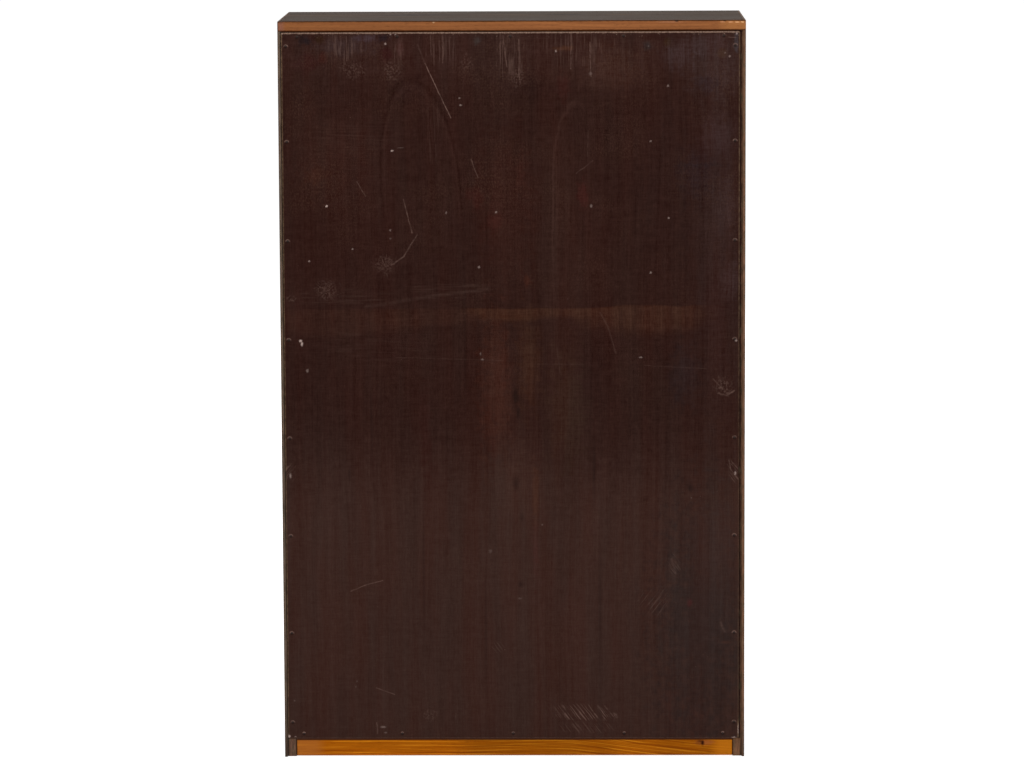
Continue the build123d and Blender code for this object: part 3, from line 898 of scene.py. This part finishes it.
def board_material(name, axes, node, colours, heart, seed, roughness, specular, spacing=0.0034,
                   contrast=0.75, wear=0.35, dust=0.12, dark_reach=0.0):
    """The tree of lacquered wood for one board, with its grain along the last of its axes."""
    pale, deep, worn = colours
    low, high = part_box(node)
    graph = MaterialGraph(name, roughness, specular)
    place = graph.place
    parts = graph.split(place)
    along = graph.join(*(parts["XYZ".index(axis)] for axis in axes))
    grain = graph.group(wood_grain(), Vector=along, Heart=(heart, 0.0, 0.0), Seed=seed,
                        Ring_Spacing=spacing)
    graph.show(graph.blend(grain["Rings"] * contrast, pale, deep))
    tone = 1.0 + grain["Streaks"].around(0.16) + grain["Fibres"].around(0.12)
    graph.tint(graph.grey(tone - grain["Pores"] * 0.35))
    worn_share = graph.group(edge_wear(), Vector=place, Low=low, High=high)["Wear"]
    graph.lay(worn_share * wear, worn)
    settled = graph.group(surface_dust(), Vector=place, Amount=dust)["Dust"]
    graph.lay(settled, paint(150, 142, 134))
    # Painted shade: with a reach given, the board's rear is painted dark to that depth, for the shade in
    # the gap behind the back panel.
    if dark_reach:
        rear = high.y - dark_reach
        behind = graph.split(place)[1].fade(rear, high.y - dark_reach / 3, 0.0, 0.95)
        graph.lay(behind, paint(66, 30, 8))
    rough = roughness + grain["Streaks"].around(0.05)
    graph.give("Roughness", rough + graph.most(worn_share, settled) * 0.2)
    graph.relief(grain["Fibres"] * 0.3 + (1.0 - grain["Pores"]), 0.00006)
    return graph


def finish_alike(nodes, kind, axes, seed, woods, heart, roughness, specular, **more):
    """Finishes nodes of one wood, each with a grain of its own."""
    for count, node in enumerate(nodes):
        graph = board_material(f"{node}_{kind}", axes, node, woods, heart, seed + count, roughness,
                               specular, **more)
        assign(frame["nodes"][node], graph.material)


def side_material(name, node, raw, shoulder, seed):
    """Veneered side board whose rear lip is bare, with painted shade in its rebate and on its inner face,
    beside and behind the panel.
    """
    colours = finishes()
    woods = (colours.veneer, colours.veneer_deep, paint(*VENEER_WORN))
    graph = board_material(name, "YXZ", node, woods, 0.03, seed, 0.45, 0.09)
    x, y, z = graph.split(graph.place)
    off_middle = abs(x)
    bare = y.fade(0.1526, 0.1536) * off_middle.fade(0.3997, 0.3990)
    sawn = graph.place.noise((420.0, 420.0, 60.0), 4.0, 0.7)
    lumps = graph.place.noise((110.0, 110.0, 40.0), 4.0, 0.7)
    # Above the shoulder the rebate floor is painted near black, as painted shade in the gap beside the
    # panel.
    floor = graph.blend(z.fade(0.0300, 0.0330), shoulder, paint(40, 8, 0))
    on_lip = (y + lumps.around(0.0012)).fade(0.1568, 0.1586)
    on_lip = graph.most(on_lip, (off_middle + lumps.around(0.0010)).fade(0.3926, 0.3938))
    lip = graph.blend(z.fade(0.060, 0.020, 0.0, 0.7), raw, paint(60, 44, 34))
    wood = graph.blend(on_lip, floor, lip)
    tone = 1.0 + sawn.fade(0.3, 0.7).around(0.28)
    tone = tone + lumps.fade(0.3, 0.7).around(0.26)
    olive = graph.place.noise((160.0, 160.0, 70.0), 3.0, 0.7)
    wood = graph.blend(olive.fade(0.46, 0.66, 0.0, 0.5), wood, paint(78, 70, 52))
    wood = graph.tinted(wood, graph.grey(tone))
    # Painted shade on the inner face behind the panel, and on the rebate's wall in the gap beside it.
    gap_shade = off_middle.fade(0.3822, 0.3805)
    gap_shade = graph.most(gap_shade, off_middle.fade(0.3950, 0.3956) * y.fade(0.1590, 0.1575))
    wood = graph.blend(gap_shade * 0.8, wood, paint(30, 8, 0))
    graph.lay(bare, wood)
    return graph.material


def lay_pine_lines(graph):
    """Long fine light and dark lines of pine, which drift a little along the rail."""
    x, y, z = graph.split(graph.place)
    drift = graph.place.noise(3.2, 2.0).around(0.007)
    lean = graph.least(x + 0.10, 0.0) * -0.11
    run = graph.join(x, y, z + (drift + lean))
    light = run.noise((6.0, 60.0, 520.0), 3.0, 0.6)
    dark = run.noise((5.0, 60.0, 300.0), 3.0, 0.6)
    graph.lay(dark.fade(0.46, 0.66, 0.0, 0.70), paint(120, 52, 0))
    graph.lay(light.fade(0.50, 0.66, 0.0, 0.75), paint(204, 128, 24))


def rail_material():
    """Amber pine with long grain and a knot, and painted shade where it meets its neighbours and along
    its top.
    """
    colours = finishes()
    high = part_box("rear_plinth_rail")[1]
    woods = (colours.pine, colours.pine_deep, paint(186, 116, 40))
    graph = board_material("amber_pine", "ZYX", "rear_plinth_rail", woods, 0.01, 5.0, 0.55, 0.04,
                           spacing=0.0016, contrast=0.15, wear=0.3, dust=0.0)
    x, _, z = graph.split(graph.place)
    lay_pine_lines(graph)
    lift = x.fade(0.05, 0.13, 1.0, 1.36) + abs(x + 0.21).fade(0.06, 0.02, 0.0, 0.16)
    graph.tint(graph.grey(lift))
    graph.lay(x.fade(0.325, 0.350, 0.0, 0.6), paint(178, 106, 44))
    graph.lay(x.fade(-0.335, -0.362, 0.0, 0.75), paint(200, 118, 20))
    mottle = graph.place.noise(300.0, 3.0, 0.7)
    patch = soft_patch()
    for shift, size, tint, strength in RAIL_HALOS:
        mark = graph.group(patch, Vector=graph.place, Centre=RAIL_KNOT + Vector(shift), Half_Size=size,
                           Core=0.1, Mottle=mottle, Fray=0.8)["Mark"]
        graph.lay(mark * strength, paint(*tint))
    # Painted shade at the rail's ends, where it meets the sides, and along its top under the back panel.
    rail_shade = abs(x).fade(high.x - 0.0020, high.x - 0.0006, 0.0, 0.9)
    rail_shade = graph.most(rail_shade, z.fade(high.z - 0.0012, high.z - 0.0004, 0.0, 0.75))
    graph.lay(rail_shade, paint(52, 22, 4))
    return graph.material


def rear_lipping_material():
    """Mottled orange-brown lipping with a dark upper arris and painted shadow along its foot, rosy at one
    end and chipped pale at the other.
    """
    colours = finishes()
    low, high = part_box("top_rear_lipping")
    woods = (colours.rear_lipping, paint(112, 64, 38), paint(150, 94, 55))
    graph = board_material("orange_lipping", "ZYX", "top_rear_lipping", woods, 0.004, 9.0, 0.6, 0.02,
                           spacing=0.0022, contrast=0.30, wear=0.0, dust=0.0)
    place = graph.place
    x, _, z = graph.split(place)
    graph.lay(x.fade(0.385, 0.394, 0.0, 0.6), paint(140, 92, 78))
    graph.lay(abs(x).fade(0.3975, 0.3990, 0.0, 0.6), paint(56, 36, 26))
    graph.lay(x.fade(-0.340, -0.380, 0.0, 0.7), paint(170, 112, 64))
    mottled = place.noise((70.0, 70.0, 200.0), 5.0, 0.75)
    graph.lay(mottled.fade(0.50, 0.72, 0.0, 0.40), paint(104, 62, 38))
    height = z + place.noise((120.0, 120.0, 1.0), 4.0, 0.75).around(0.0010)
    arris = height.fade(high.z - 0.0019, high.z - 0.0011)
    # foot is painted shadow along the lipping's lower edge, over the gap above the back panel.
    foot = height.fade(low.z + 0.0024, low.z + 0.0010)
    graph.lay(arris * 0.85, paint(46, 24, 10))
    graph.lay(foot * 0.85, paint(66, 30, 10))
    patch = soft_patch()
    crumbs = place.noise((420.0, 420.0, 300.0), 3.0, 0.7)
    for spot, half_length, drop, tint, strength in LIPPING_CHIPS:
        mark = graph.group(patch, Vector=place, Centre=(spot, 0.160, high.z - drop), Core=0.3,
                           Half_Size=(half_length, 1.0, 0.0015), Mottle=crumbs, Fray=1.5)["Mark"]
        graph.lay(mark * strength, paint(*tint))
    return graph.material


def metal_material(name, colour, tarnish, roughness, tarnish_share, under_shade=0.0):
    """Metal with a dull tarnish in lumps, painted shade on its lower faces, and fine scratches."""
    graph = MaterialGraph(name, roughness, 0.5, 1.0)
    lumps = graph.place.noise(700.0, 4.0, 0.65)
    fine = graph.place.noise((4000.0, 500.0, 4000.0), 2.0)
    film_and_shade = lumps.fade(0.42, 0.66, 0.0, tarnish_share)
    # Painted shade: the lower faces get the dull tarnish, as if in shade.
    film_and_shade = graph.most(film_and_shade, graph.split(graph.normal())[2].fade(0.15, -0.15, 0.0, under_shade))
    graph.show(graph.blend(film_and_shade, colour, tarnish))
    graph.give("Metallic", 1.0 - film_and_shade * 0.6)
    graph.give("Roughness", roughness + film_and_shade * 0.35)
    graph.relief(lumps + fine * 0.3, 0.00003)
    return graph.material


# Modelling

TOUCHING = 0.00001

# Chips in the panel's side edges: the edge, height over the foot, radius, push sideways and forwards
PANEL_CHIPS = (
    (PANEL_HIGH.x, 0.463, 0.008, -0.0012, -0.0006),
    (PANEL_LOW.x, 0.468, 0.010, 0.0014, -0.0006),
    (PANEL_LOW.x, 0.697, 0.006, 0.0010, -0.0004),
)

# Notches in the rear lipping's upper edge: spot along it and drop
NOTCHES = ((-0.388, 0.0016), (-0.379, 0.0010), (-0.371, 0.0014), (-0.282, 0.0012), (0.133, 0.0010))


def deselect():
    if bpy.context.mode != "OBJECT":
        bpy.ops.object.mode_set(mode="OBJECT")
    bpy.ops.object.select_all(action="DESELECT")


def apply_place():
    """Moves the active piece's place, turn and scale into its mesh."""
    bpy.ops.object.transform_apply(location=True, rotation=True, scale=True)


def block(name, low, high):
    """A block between two corners, with its origin at the scene's origin."""
    deselect()
    bpy.ops.mesh.primitive_cube_add(size=1.0, location=(low + high) / 2)
    piece = bpy.context.object
    piece.name = name
    piece.scale = high - low
    apply_place()
    return piece


def pick(piece, kind, test):
    """Selects the corners, edges or faces that pass a test, in edit mode."""
    if bpy.context.mode != "EDIT_MESH":
        bpy.ops.object.mode_set(mode="EDIT")
    bpy.ops.mesh.select_mode(type=kind)
    bpy.ops.mesh.select_all(action="DESELECT")
    mesh = bmesh.from_edit_mesh(piece.data)
    mesh.normal_update()
    parts = {"VERT": mesh.verts, "EDGE": mesh.edges, "FACE": mesh.faces}[kind]
    chosen = [part for part in parts if test(part)]
    if not chosen:
        raise RuntimeError(f"nothing to select on {piece.name}")
    for part in chosen:
        part.select_set(True)
    mesh.select_flush_mode()
    bmesh.update_edit_mesh(piece.data)


def runs_along(edge, axis):
    """Whether an edge lies along one of the axes."""
    line = (edge.verts[0].co - edge.verts[1].co).normalized()
    return abs(line[axis]) > 0.999


def round_edges(wear):
    """Bevels the chosen edges by the wear given."""
    bpy.ops.mesh.bevel(offset=wear, segments=2, affect="EDGES", clamp_overlap=False)


def close_up(piece):
    """Leaves edit mode with the faces looking outwards and shaded by angle."""
    bpy.ops.mesh.select_all(action="SELECT")
    bpy.ops.mesh.remove_doubles(threshold=TOUCHING)
    bpy.ops.mesh.normals_make_consistent(inside=False)
    bpy.ops.object.mode_set(mode="OBJECT")
    bpy.ops.object.shade_smooth_by_angle(angle=math.radians(35))
    return piece


def worn_strip(name, node, seed):
    """A strip with the node's size, its long edges worn round unevenly."""
    wanted = sizes()
    low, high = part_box(node)
    piece = block(name, low, high)
    pick(piece, "EDGE", lambda edge: runs_along(edge, 0))
    bpy.ops.mesh.subdivide(number_cuts=int((high.x - low.x) / wanted.rim_step))

    def depth(vertex, axis):
        """How far a corner lies from the nearer face across an axis."""
        return min(abs(vertex.co[axis] - low[axis]), abs(vertex.co[axis] - high[axis]))

    def on_long_edge(edge):
        return max(depth(vertex, axis) for vertex in edge.verts for axis in (1, 2)) < TOUCHING

    def on_crown(vertex):
        return min(depth(vertex, 1), depth(vertex, 2)) > TOUCHING and depth(vertex, 0) > 0.0005

    pick(piece, "EDGE", on_long_edge)
    round_edges(wanted.strip_wear)
    pick(piece, "VERT", on_crown)
    bpy.ops.transform.vertex_random(offset=wanted.roughness, seed=seed)
    return piece


def chip(piece, centre, radius, push):
    """Pushes in the worn edge round one point."""
    pick(piece, "VERT", lambda vertex: (vertex.co - Vector(centre)).length < radius)
    bpy.ops.transform.translate(value=push)


def back_panel():
    """The plywood sheet, its rear rim worn and chipped."""
    wanted = sizes()
    low, high = PANEL_LOW, PANEL_HIGH
    middle = (low.y + high.y) / 2
    inset = wanted.panel_wear
    piece = block("worn_back_panel", low, high)
    pick(piece, "EDGE", lambda edge: runs_along(edge, 1))
    bpy.ops.mesh.bevel(offset=wanted.panel_corner, segments=4, affect="EDGES")
    pick(piece, "FACE", lambda face: abs(face.normal.y) > 0.9)
    bpy.ops.mesh.delete(type="ONLY_FACE")
    for axis in (0, 2):
        span = high[axis] - low[axis]
        pick(piece, "EDGE", lambda edge: runs_along(edge, axis) and edge.calc_length() > span / 2)
        bpy.ops.mesh.subdivide(number_cuts=int(span / wanted.rim_step))

    def on_hole(edge):
        return edge.is_boundary and max(abs(v.co.y - depth) for v in edge.verts) < TOUCHING

    def on_rim(edge):
        from_sides = [min(v.co.x - low.x, high.x - v.co.x) for v in edge.verts]
        from_ends = [min(v.co.z - low.z, high.z - v.co.z) for v in edge.verts]
        at_rear = min(v.co.y for v in edge.verts) > high.y - TOUCHING
        return at_rear and max(map(min, from_sides, from_ends)) < wanted.panel_corner * 0.3

    for depth in (low.y, high.y):
        pick(piece, "EDGE", on_hole)
        bpy.ops.mesh.edge_face_add()
    pick(piece, "FACE", lambda face: face.calc_area() > 0.5 and face.calc_center_median().y > middle)
    bpy.ops.mesh.inset(thickness=0.003, use_even_offset=True)
    pick(piece, "EDGE", on_rim)
    round_edges(inset)
    pick(piece, "VERT", lambda vertex: high.y - inset * 0.9 < vertex.co.y < high.y - inset * 0.05)
    bpy.ops.transform.vertex_random(offset=wanted.roughness * 1.4, seed=wanted.seed)
    for edge_x, rise, radius, sideways, forwards in PANEL_CHIPS:
        chip(piece, (edge_x, high.y, low.z + rise), radius, (sideways, forwards, 0.0))
    return close_up(piece)


def panel_pin(wanted):
    """One panel pin on its own, its head's underside at the origin and its shank along -Y."""
    deselect()
    rim = wanted.pin_rise * 0.45
    bpy.ops.mesh.primitive_cylinder_add(vertices=20, radius=wanted.pin_head / 2, depth=rim,
                                        location=(0.0, rim / 2, 0.0), rotation=(math.pi / 2, 0.0, 0.0))
    pin = bpy.context.object
    apply_place()
    for share in (0.55, 0.3, 0.15):
        pick(pin, "FACE", lambda face: face.normal.y > 0.9 and len(face.verts) > 4)
        bpy.ops.mesh.inset(thickness=wanted.pin_head * 0.11, depth=(wanted.pin_rise - rim) * share)
    pick(pin, "FACE", lambda face: face.normal.y < -0.9)
    bpy.ops.mesh.inset(thickness=(wanted.pin_head - wanted.pin_shank) / 2)
    for run in (wanted.pin_length - wanted.pin_shank, wanted.pin_shank):
        bpy.ops.mesh.extrude_region_move(TRANSFORM_OT_translate={"value": (0.0, -run, 0.0)})
    bpy.ops.transform.resize(value=(0.2, 1.0, 0.2), center_override=(0.0, -wanted.pin_length, 0.0))
    return close_up(pin)


def pin_places(wanted):
    """Where the pins go in: eight down each side and five along the top and bottom."""
    low, high = PANEL_LOW, PANEL_HIGH
    middle = (low + high) / 2
    steps = [middle.z + wanted.pin_pitch * share for share in (-2.5, -1.5, -0.5, 0.5, 1.5, 2.5)]
    heights = [low.z + wanted.pin_bottom_inset, *steps, high.z - wanted.pin_top_inset]
    sides = (low.x + wanted.pin_side_inset, high.x - wanted.pin_side_inset)
    half_row = (high.x - low.x) / 2 - wanted.row_end_inset
    rows = (low.z + wanted.row_bottom_rise, high.z - wanted.row_top_inset)
    places = [(x, height) for x in sides for height in heights]
    places += [(middle.x + half_row * share, height) for height in rows for share in PIN_ROW_SHARES]
    return places


# Operators

# Name, place, width and height, share of the lamp power
LAMPS = (
    ("rear_key", (2.2, 5.2, 3.6), (3.6, 2.6), 1.00),
    ("rear_fill", (-3.4, 4.6, 2.2), (3.0, 2.4), 0.55),
    ("front_key", (-2.4, -5.2, 3.4), (3.6, 2.6), 0.95),
    ("front_fill", (3.2, -4.6, 2.0), (3.0, 2.4), 0.55),
    ("overhead", (0.0, 0.3, 5.2), (4.0, 4.0), 0.35),
)
LAMPS_AIM = Vector((0.0, 0.0, 0.65))


class BOOKCASE_OT_stage(Operator):
    """Sets the camera, the pale floor, the soft lamps and the white surroundings"""

    bl_idname = "bookcase.stage"
    bl_label = "Stage"

    def execute(self, context):
        wanted = stage()
        deselect()
        sight = Vector(wanted.camera_aim) - Vector(wanted.camera_place)
        turn = sight.to_track_quat("-Z", "Y") @ Quaternion((0.0, 0.0, 1.0), wanted.camera_roll)
        bpy.ops.object.camera_add(location=wanted.camera_place, rotation=turn.to_euler())
        camera = context.object
        camera.name = "camera"
        camera.data.lens = wanted.lens
        camera.data.sensor_width = 36.0
        camera.data.clip_end = 200.0
        context.scene.camera = camera
        context.scene.view_settings.view_transform = "Standard"

        deselect()
        bpy.ops.mesh.primitive_plane_add(size=wanted.floor_width, location=(0.0, 0.0, 0.0))
        floor = context.object
        floor.name = "floor"
        floor.data.materials.append(self.floor_material())

        for name, place, (wide, high), share in LAMPS:
            deselect()
            turn = (LAMPS_AIM - Vector(place)).to_track_quat("-Z", "Y")
            bpy.ops.object.light_add(type="AREA", location=place, rotation=turn.to_euler())
            lamp = context.object
            lamp.name = name
            lamp.data.shape = "RECTANGLE"
            lamp.data.size = wide
            lamp.data.size_y = high
            lamp.data.energy = wanted.lamp_power * share
            lamp.visible_camera = False
            lamp.visible_glossy = False
        self.surroundings(context)
        return {"FINISHED"}

    def seen(self, graph):
        """1 for a ray that shows the surroundings themselves, straight or in gloss or glass."""
        path = graph.outs(graph.add("ShaderNodeLightPath", {}))
        shown = graph.most(path["Is Camera Ray"], path["Is Glossy Ray"])
        return graph.most(shown, path["Is Transmission Ray"])

    def floor_material(self):
        material = bpy.data.materials.new("floor")
        material.use_nodes = True
        graph = Graph(material.node_tree)
        material.node_tree.nodes.clear()
        place = graph.out("ShaderNodeTexCoord", {}, "Object")
        colour = graph.blend(place.noise(1.5, 3.0), (0.80, 0.80, 0.80), (0.84, 0.84, 0.84))
        matt = graph.out("ShaderNodeBsdfDiffuse", {"Color": colour})
        glow = graph.out("ShaderNodeEmission", {"Strength": self.seen(graph) * 0.68})
        both = graph.out("ShaderNodeAddShader", {0: matt, 1: glow})
        graph.add("ShaderNodeOutputMaterial", {"Surface": both})
        return material

    def surroundings(self, context):
        world = bpy.data.worlds.new("studio")
        context.scene.world = world
        world.use_nodes = True
        graph = Graph(world.node_tree)
        world.node_tree.nodes.clear()
        feeds = {"Color": (1.0, 1.0, 1.0), "Strength": 1.0}
        white = graph.out("ShaderNodeBackground", feeds)
        soft = graph.out("ShaderNodeBackground", {**feeds, "Strength": stage().ambient})
        both = graph.out("ShaderNodeMixShader", {0: self.seen(graph), 1: soft, 2: white})
        graph.add("ShaderNodeOutputWorld", {"Surface": both})


class BOOKCASE_OT_back_panel(Operator):
    """Makes the back panel with its worn rim and its stained, scratched face"""

    bl_idname = "bookcase.back_panel"
    bl_label = "Back panel"

    def execute(self, context):
        piece = back_panel()
        assign(piece, panel_material())
        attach(piece, "case")
        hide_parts("back_panel")
        return {"FINISHED"}


class BOOKCASE_OT_panel_pins(Operator):
    """Makes the panel pins that hold the back panel"""

    bl_idname = "bookcase.panel_pins"
    bl_label = "Panel pins"

    def execute(self, context):
        wanted = sizes()
        chance = random.Random(wanted.seed)
        first = panel_pin(wanted)
        pins = []
        for x, z in pin_places(wanted):
            pin = first.copy()
            pin.data = first.data.copy()
            context.collection.objects.link(pin)
            lean = [chance.uniform(-wanted.pin_tilt, wanted.pin_tilt) for _ in range(2)]
            pin.rotation_euler = (lean[0], chance.uniform(0.0, math.tau), lean[1])
            pin.location = (x, PANEL_HIGH.y - 0.0001, z)
            pins.append(pin)
        deselect()
        bpy.data.objects.remove(first)
        for pin in pins:
            pin.select_set(True)
        context.view_layer.objects.active = pins[0]
        apply_place()
        bpy.ops.object.join()
        piece = context.object
        piece.name = "domed_panel_pins"
        # The last figure paints the pins' lower faces dark, as painted shade.
        assign(piece, metal_material("pin_steel", finishes().steel, paint(34, 22, 18), 0.5, 0.5, 1.0))
        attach(piece, "case")
        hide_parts("back_panel_pins")
        return {"FINISHED"}


class BOOKCASE_OT_rear_strips(Operator):
    """Makes the top's rear lipping and the rear plinth rail with worn edges"""

    bl_idname = "bookcase.rear_strips"
    bl_label = "Rear lipping and rail"

    def execute(self, context):
        strip = worn_strip("worn_rear_lipping", "top_rear_lipping", 11)
        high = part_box("top_rear_lipping")[1]
        for x, drop in NOTCHES:
            chip(strip, (x, high.y, high.z), 0.0042, (0.0, -drop * 0.5, -drop))
        chip(strip, (0.396, high.y, high.z), 0.0040, (-0.0006, -0.0006, -0.0006))
        close_up(strip)
        assign(strip, rear_lipping_material())
        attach(strip, "case")
        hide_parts("top_rear_lipping")

        rail = worn_strip("worn_rear_rail", "rear_plinth_rail", 12)
        close_up(rail)
        assign(rail, rail_material())
        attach(rail, "case")
        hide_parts("rear_plinth_rail")
        return {"FINISHED"}


class BOOKCASE_OT_sides(Operator):
    """Finishes the two side boards"""

    bl_idname = "bookcase.sides"
    bl_label = "Sides"

    def execute(self, context):
        colours = finishes()
        for node, raw, shoulder, seed in (("right_side", colours.grey_edge, (106, 76, 60), 1.0),
                                          ("left_side", colours.brown_edge, (118, 82, 58), 2.0)):
            material = side_material(f"{node}_veneer", node, raw, paint(*shoulder), seed)
            assign(frame["nodes"][node], material)
        return {"FINISHED"}


class BOOKCASE_OT_boards(Operator):
    """Finishes the top, the bottom board, the shelves and the lippings"""

    bl_idname = "bookcase.boards"
    bl_label = "Boards and lippings"

    def execute(self, context):
        colours = finishes()
        veneer = (colours.veneer, colours.veneer_deep, paint(*VENEER_WORN))
        finish_alike(("bottom_board",), "veneer", "YZX", 10.0, veneer, 0.02, 0.45, 0.15, dark_reach=0.001)
        finish_alike(SHELVES, "veneer", "YZX", 11.0, veneer, 0.02, 0.45, 0.15)
        finish_alike(("top_board",), "veneer", "YZX", 20.0, veneer, -0.03, 0.62, 0.03, dark_reach=0.006)

        solid = (colours.lipping, colours.veneer_deep, paint(132, 90, 60))
        strips = {"spacing": 0.003, "wear": 0.5}
        level = ("top_front_lipping", "bottom_board_lipping",
                 *(f"{shelf}_lipping" for shelf in SHELVES))
        upright = ("left_side_lipping", "right_side_lipping")
        ends = ("top_left_lipping", "top_right_lipping")
        finish_alike(level, "wood", "ZYX", 30.0, solid, 0.0, 0.45, 0.2, **strips)
        finish_alike(upright, "wood", "XYZ", 40.0, solid, 0.0, 0.45, 0.2, **strips)
        finish_alike(ends, "wood", "ZXY", 50.0, solid, 0.0, 0.55, 0.15, **strips)
        return {"FINISHED"}


class BOOKCASE_OT_rails(Operator):
    """Finishes the front plinth rail and the batten under the top"""

    bl_idname = "bookcase.rails"
    bl_label = "Front rail and batten"

    def execute(self, context):
        colours = finishes()
        nodes = frame["nodes"]
        hidden = (colours.veneer, colours.veneer_deep, paint(110, 76, 52))
        graph = board_material("front_rail", "ZYX", "front_plinth_rail", hidden, 0.0, 60.0, 0.5, 0.2,
                               spacing=0.003)
        assign(nodes["front_plinth_rail"], graph.material)
        graph = board_material("stained_batten", "ZYX", "top_rear_rail", hidden, 0.01, 61.0, 0.55, 0.08,
                               spacing=0.0016, contrast=0.4, dust=0.0, dark_reach=0.001)
        assign(nodes["top_rear_rail"], graph.material)
        return {"FINISHED"}


class BOOKCASE_OT_fittings(Operator):
    """Finishes the dowels and the brass shelf pegs"""

    bl_idname = "bookcase.fittings"
    bl_label = "Dowels and pegs"

    def execute(self, context):
        colours = finishes()
        beech = (colours.beech, paint(150, 108, 70), paint(210, 176, 132))
        rods = {"spacing": 0.002, "contrast": 0.4, "wear": 0.0, "dust": 0.0}
        level = ("bottom_board_dowels", "rail_dowels")
        finish_alike(("top_dowels",), "beech", "XYZ", 70.0, beech, 0.0, 0.6, 0.2, **rods)
        finish_alike(level, "beech", "YZX", 71.0, beech, 0.0, 0.6, 0.2, **rods)
        brass = metal_material("peg_brass", colours.brass, paint(96, 70, 40), 0.28, 0.5)
        for shelf in SHELVES:
            assign(frame["nodes"][f"{shelf}_pegs"], brass)
        return {"FINISHED"}


class BOOKCASE_PT_sidebar(Panel):
    """Lists the steps that build the bookcase"""

    bl_idname = "BOOKCASE_PT_sidebar"
    bl_label = "Bookcase"
    bl_space_type = "VIEW_3D"
    bl_region_type = "UI"
    bl_category = "Bookcase"

    def draw(self, context):
        for step in STEPS:
            self.layout.operator(step.bl_idname)


STEPS = (
    BOOKCASE_OT_stage,
    BOOKCASE_OT_back_panel,
    BOOKCASE_OT_panel_pins,
    BOOKCASE_OT_rear_strips,
    BOOKCASE_OT_sides,
    BOOKCASE_OT_boards,
    BOOKCASE_OT_rails,
    BOOKCASE_OT_fittings,
)
GROUPS = (
    ("bookcase_sizes", BookcaseSizes),
    ("bookcase_finishes", BookcaseFinishes),
    ("bookcase_stage", BookcaseStage),
)


def register():
    for label, group in GROUPS:
        bpy.utils.register_class(group)
        setattr(bpy.types.Scene, label, PointerProperty(type=group))
    for step in (*STEPS, BOOKCASE_PT_sidebar):
        bpy.utils.register_class(step)


def unregister():
    for step in (BOOKCASE_PT_sidebar, *reversed(STEPS)):
        bpy.utils.unregister_class(step)
    for label, group in reversed(GROUPS):
        delattr(bpy.types.Scene, label)
        bpy.utils.unregister_class(group)


def main():
    register()
    bpy.ops.bookcase.stage()
    bpy.ops.bookcase.back_panel()
    bpy.ops.bookcase.panel_pins()
    bpy.ops.bookcase.rear_strips()
    bpy.ops.bookcase.sides()
    bpy.ops.bookcase.boards()
    bpy.ops.bookcase.rails()
    bpy.ops.bookcase.fittings()
    deselect()


if __name__ == "__main__":
    main()
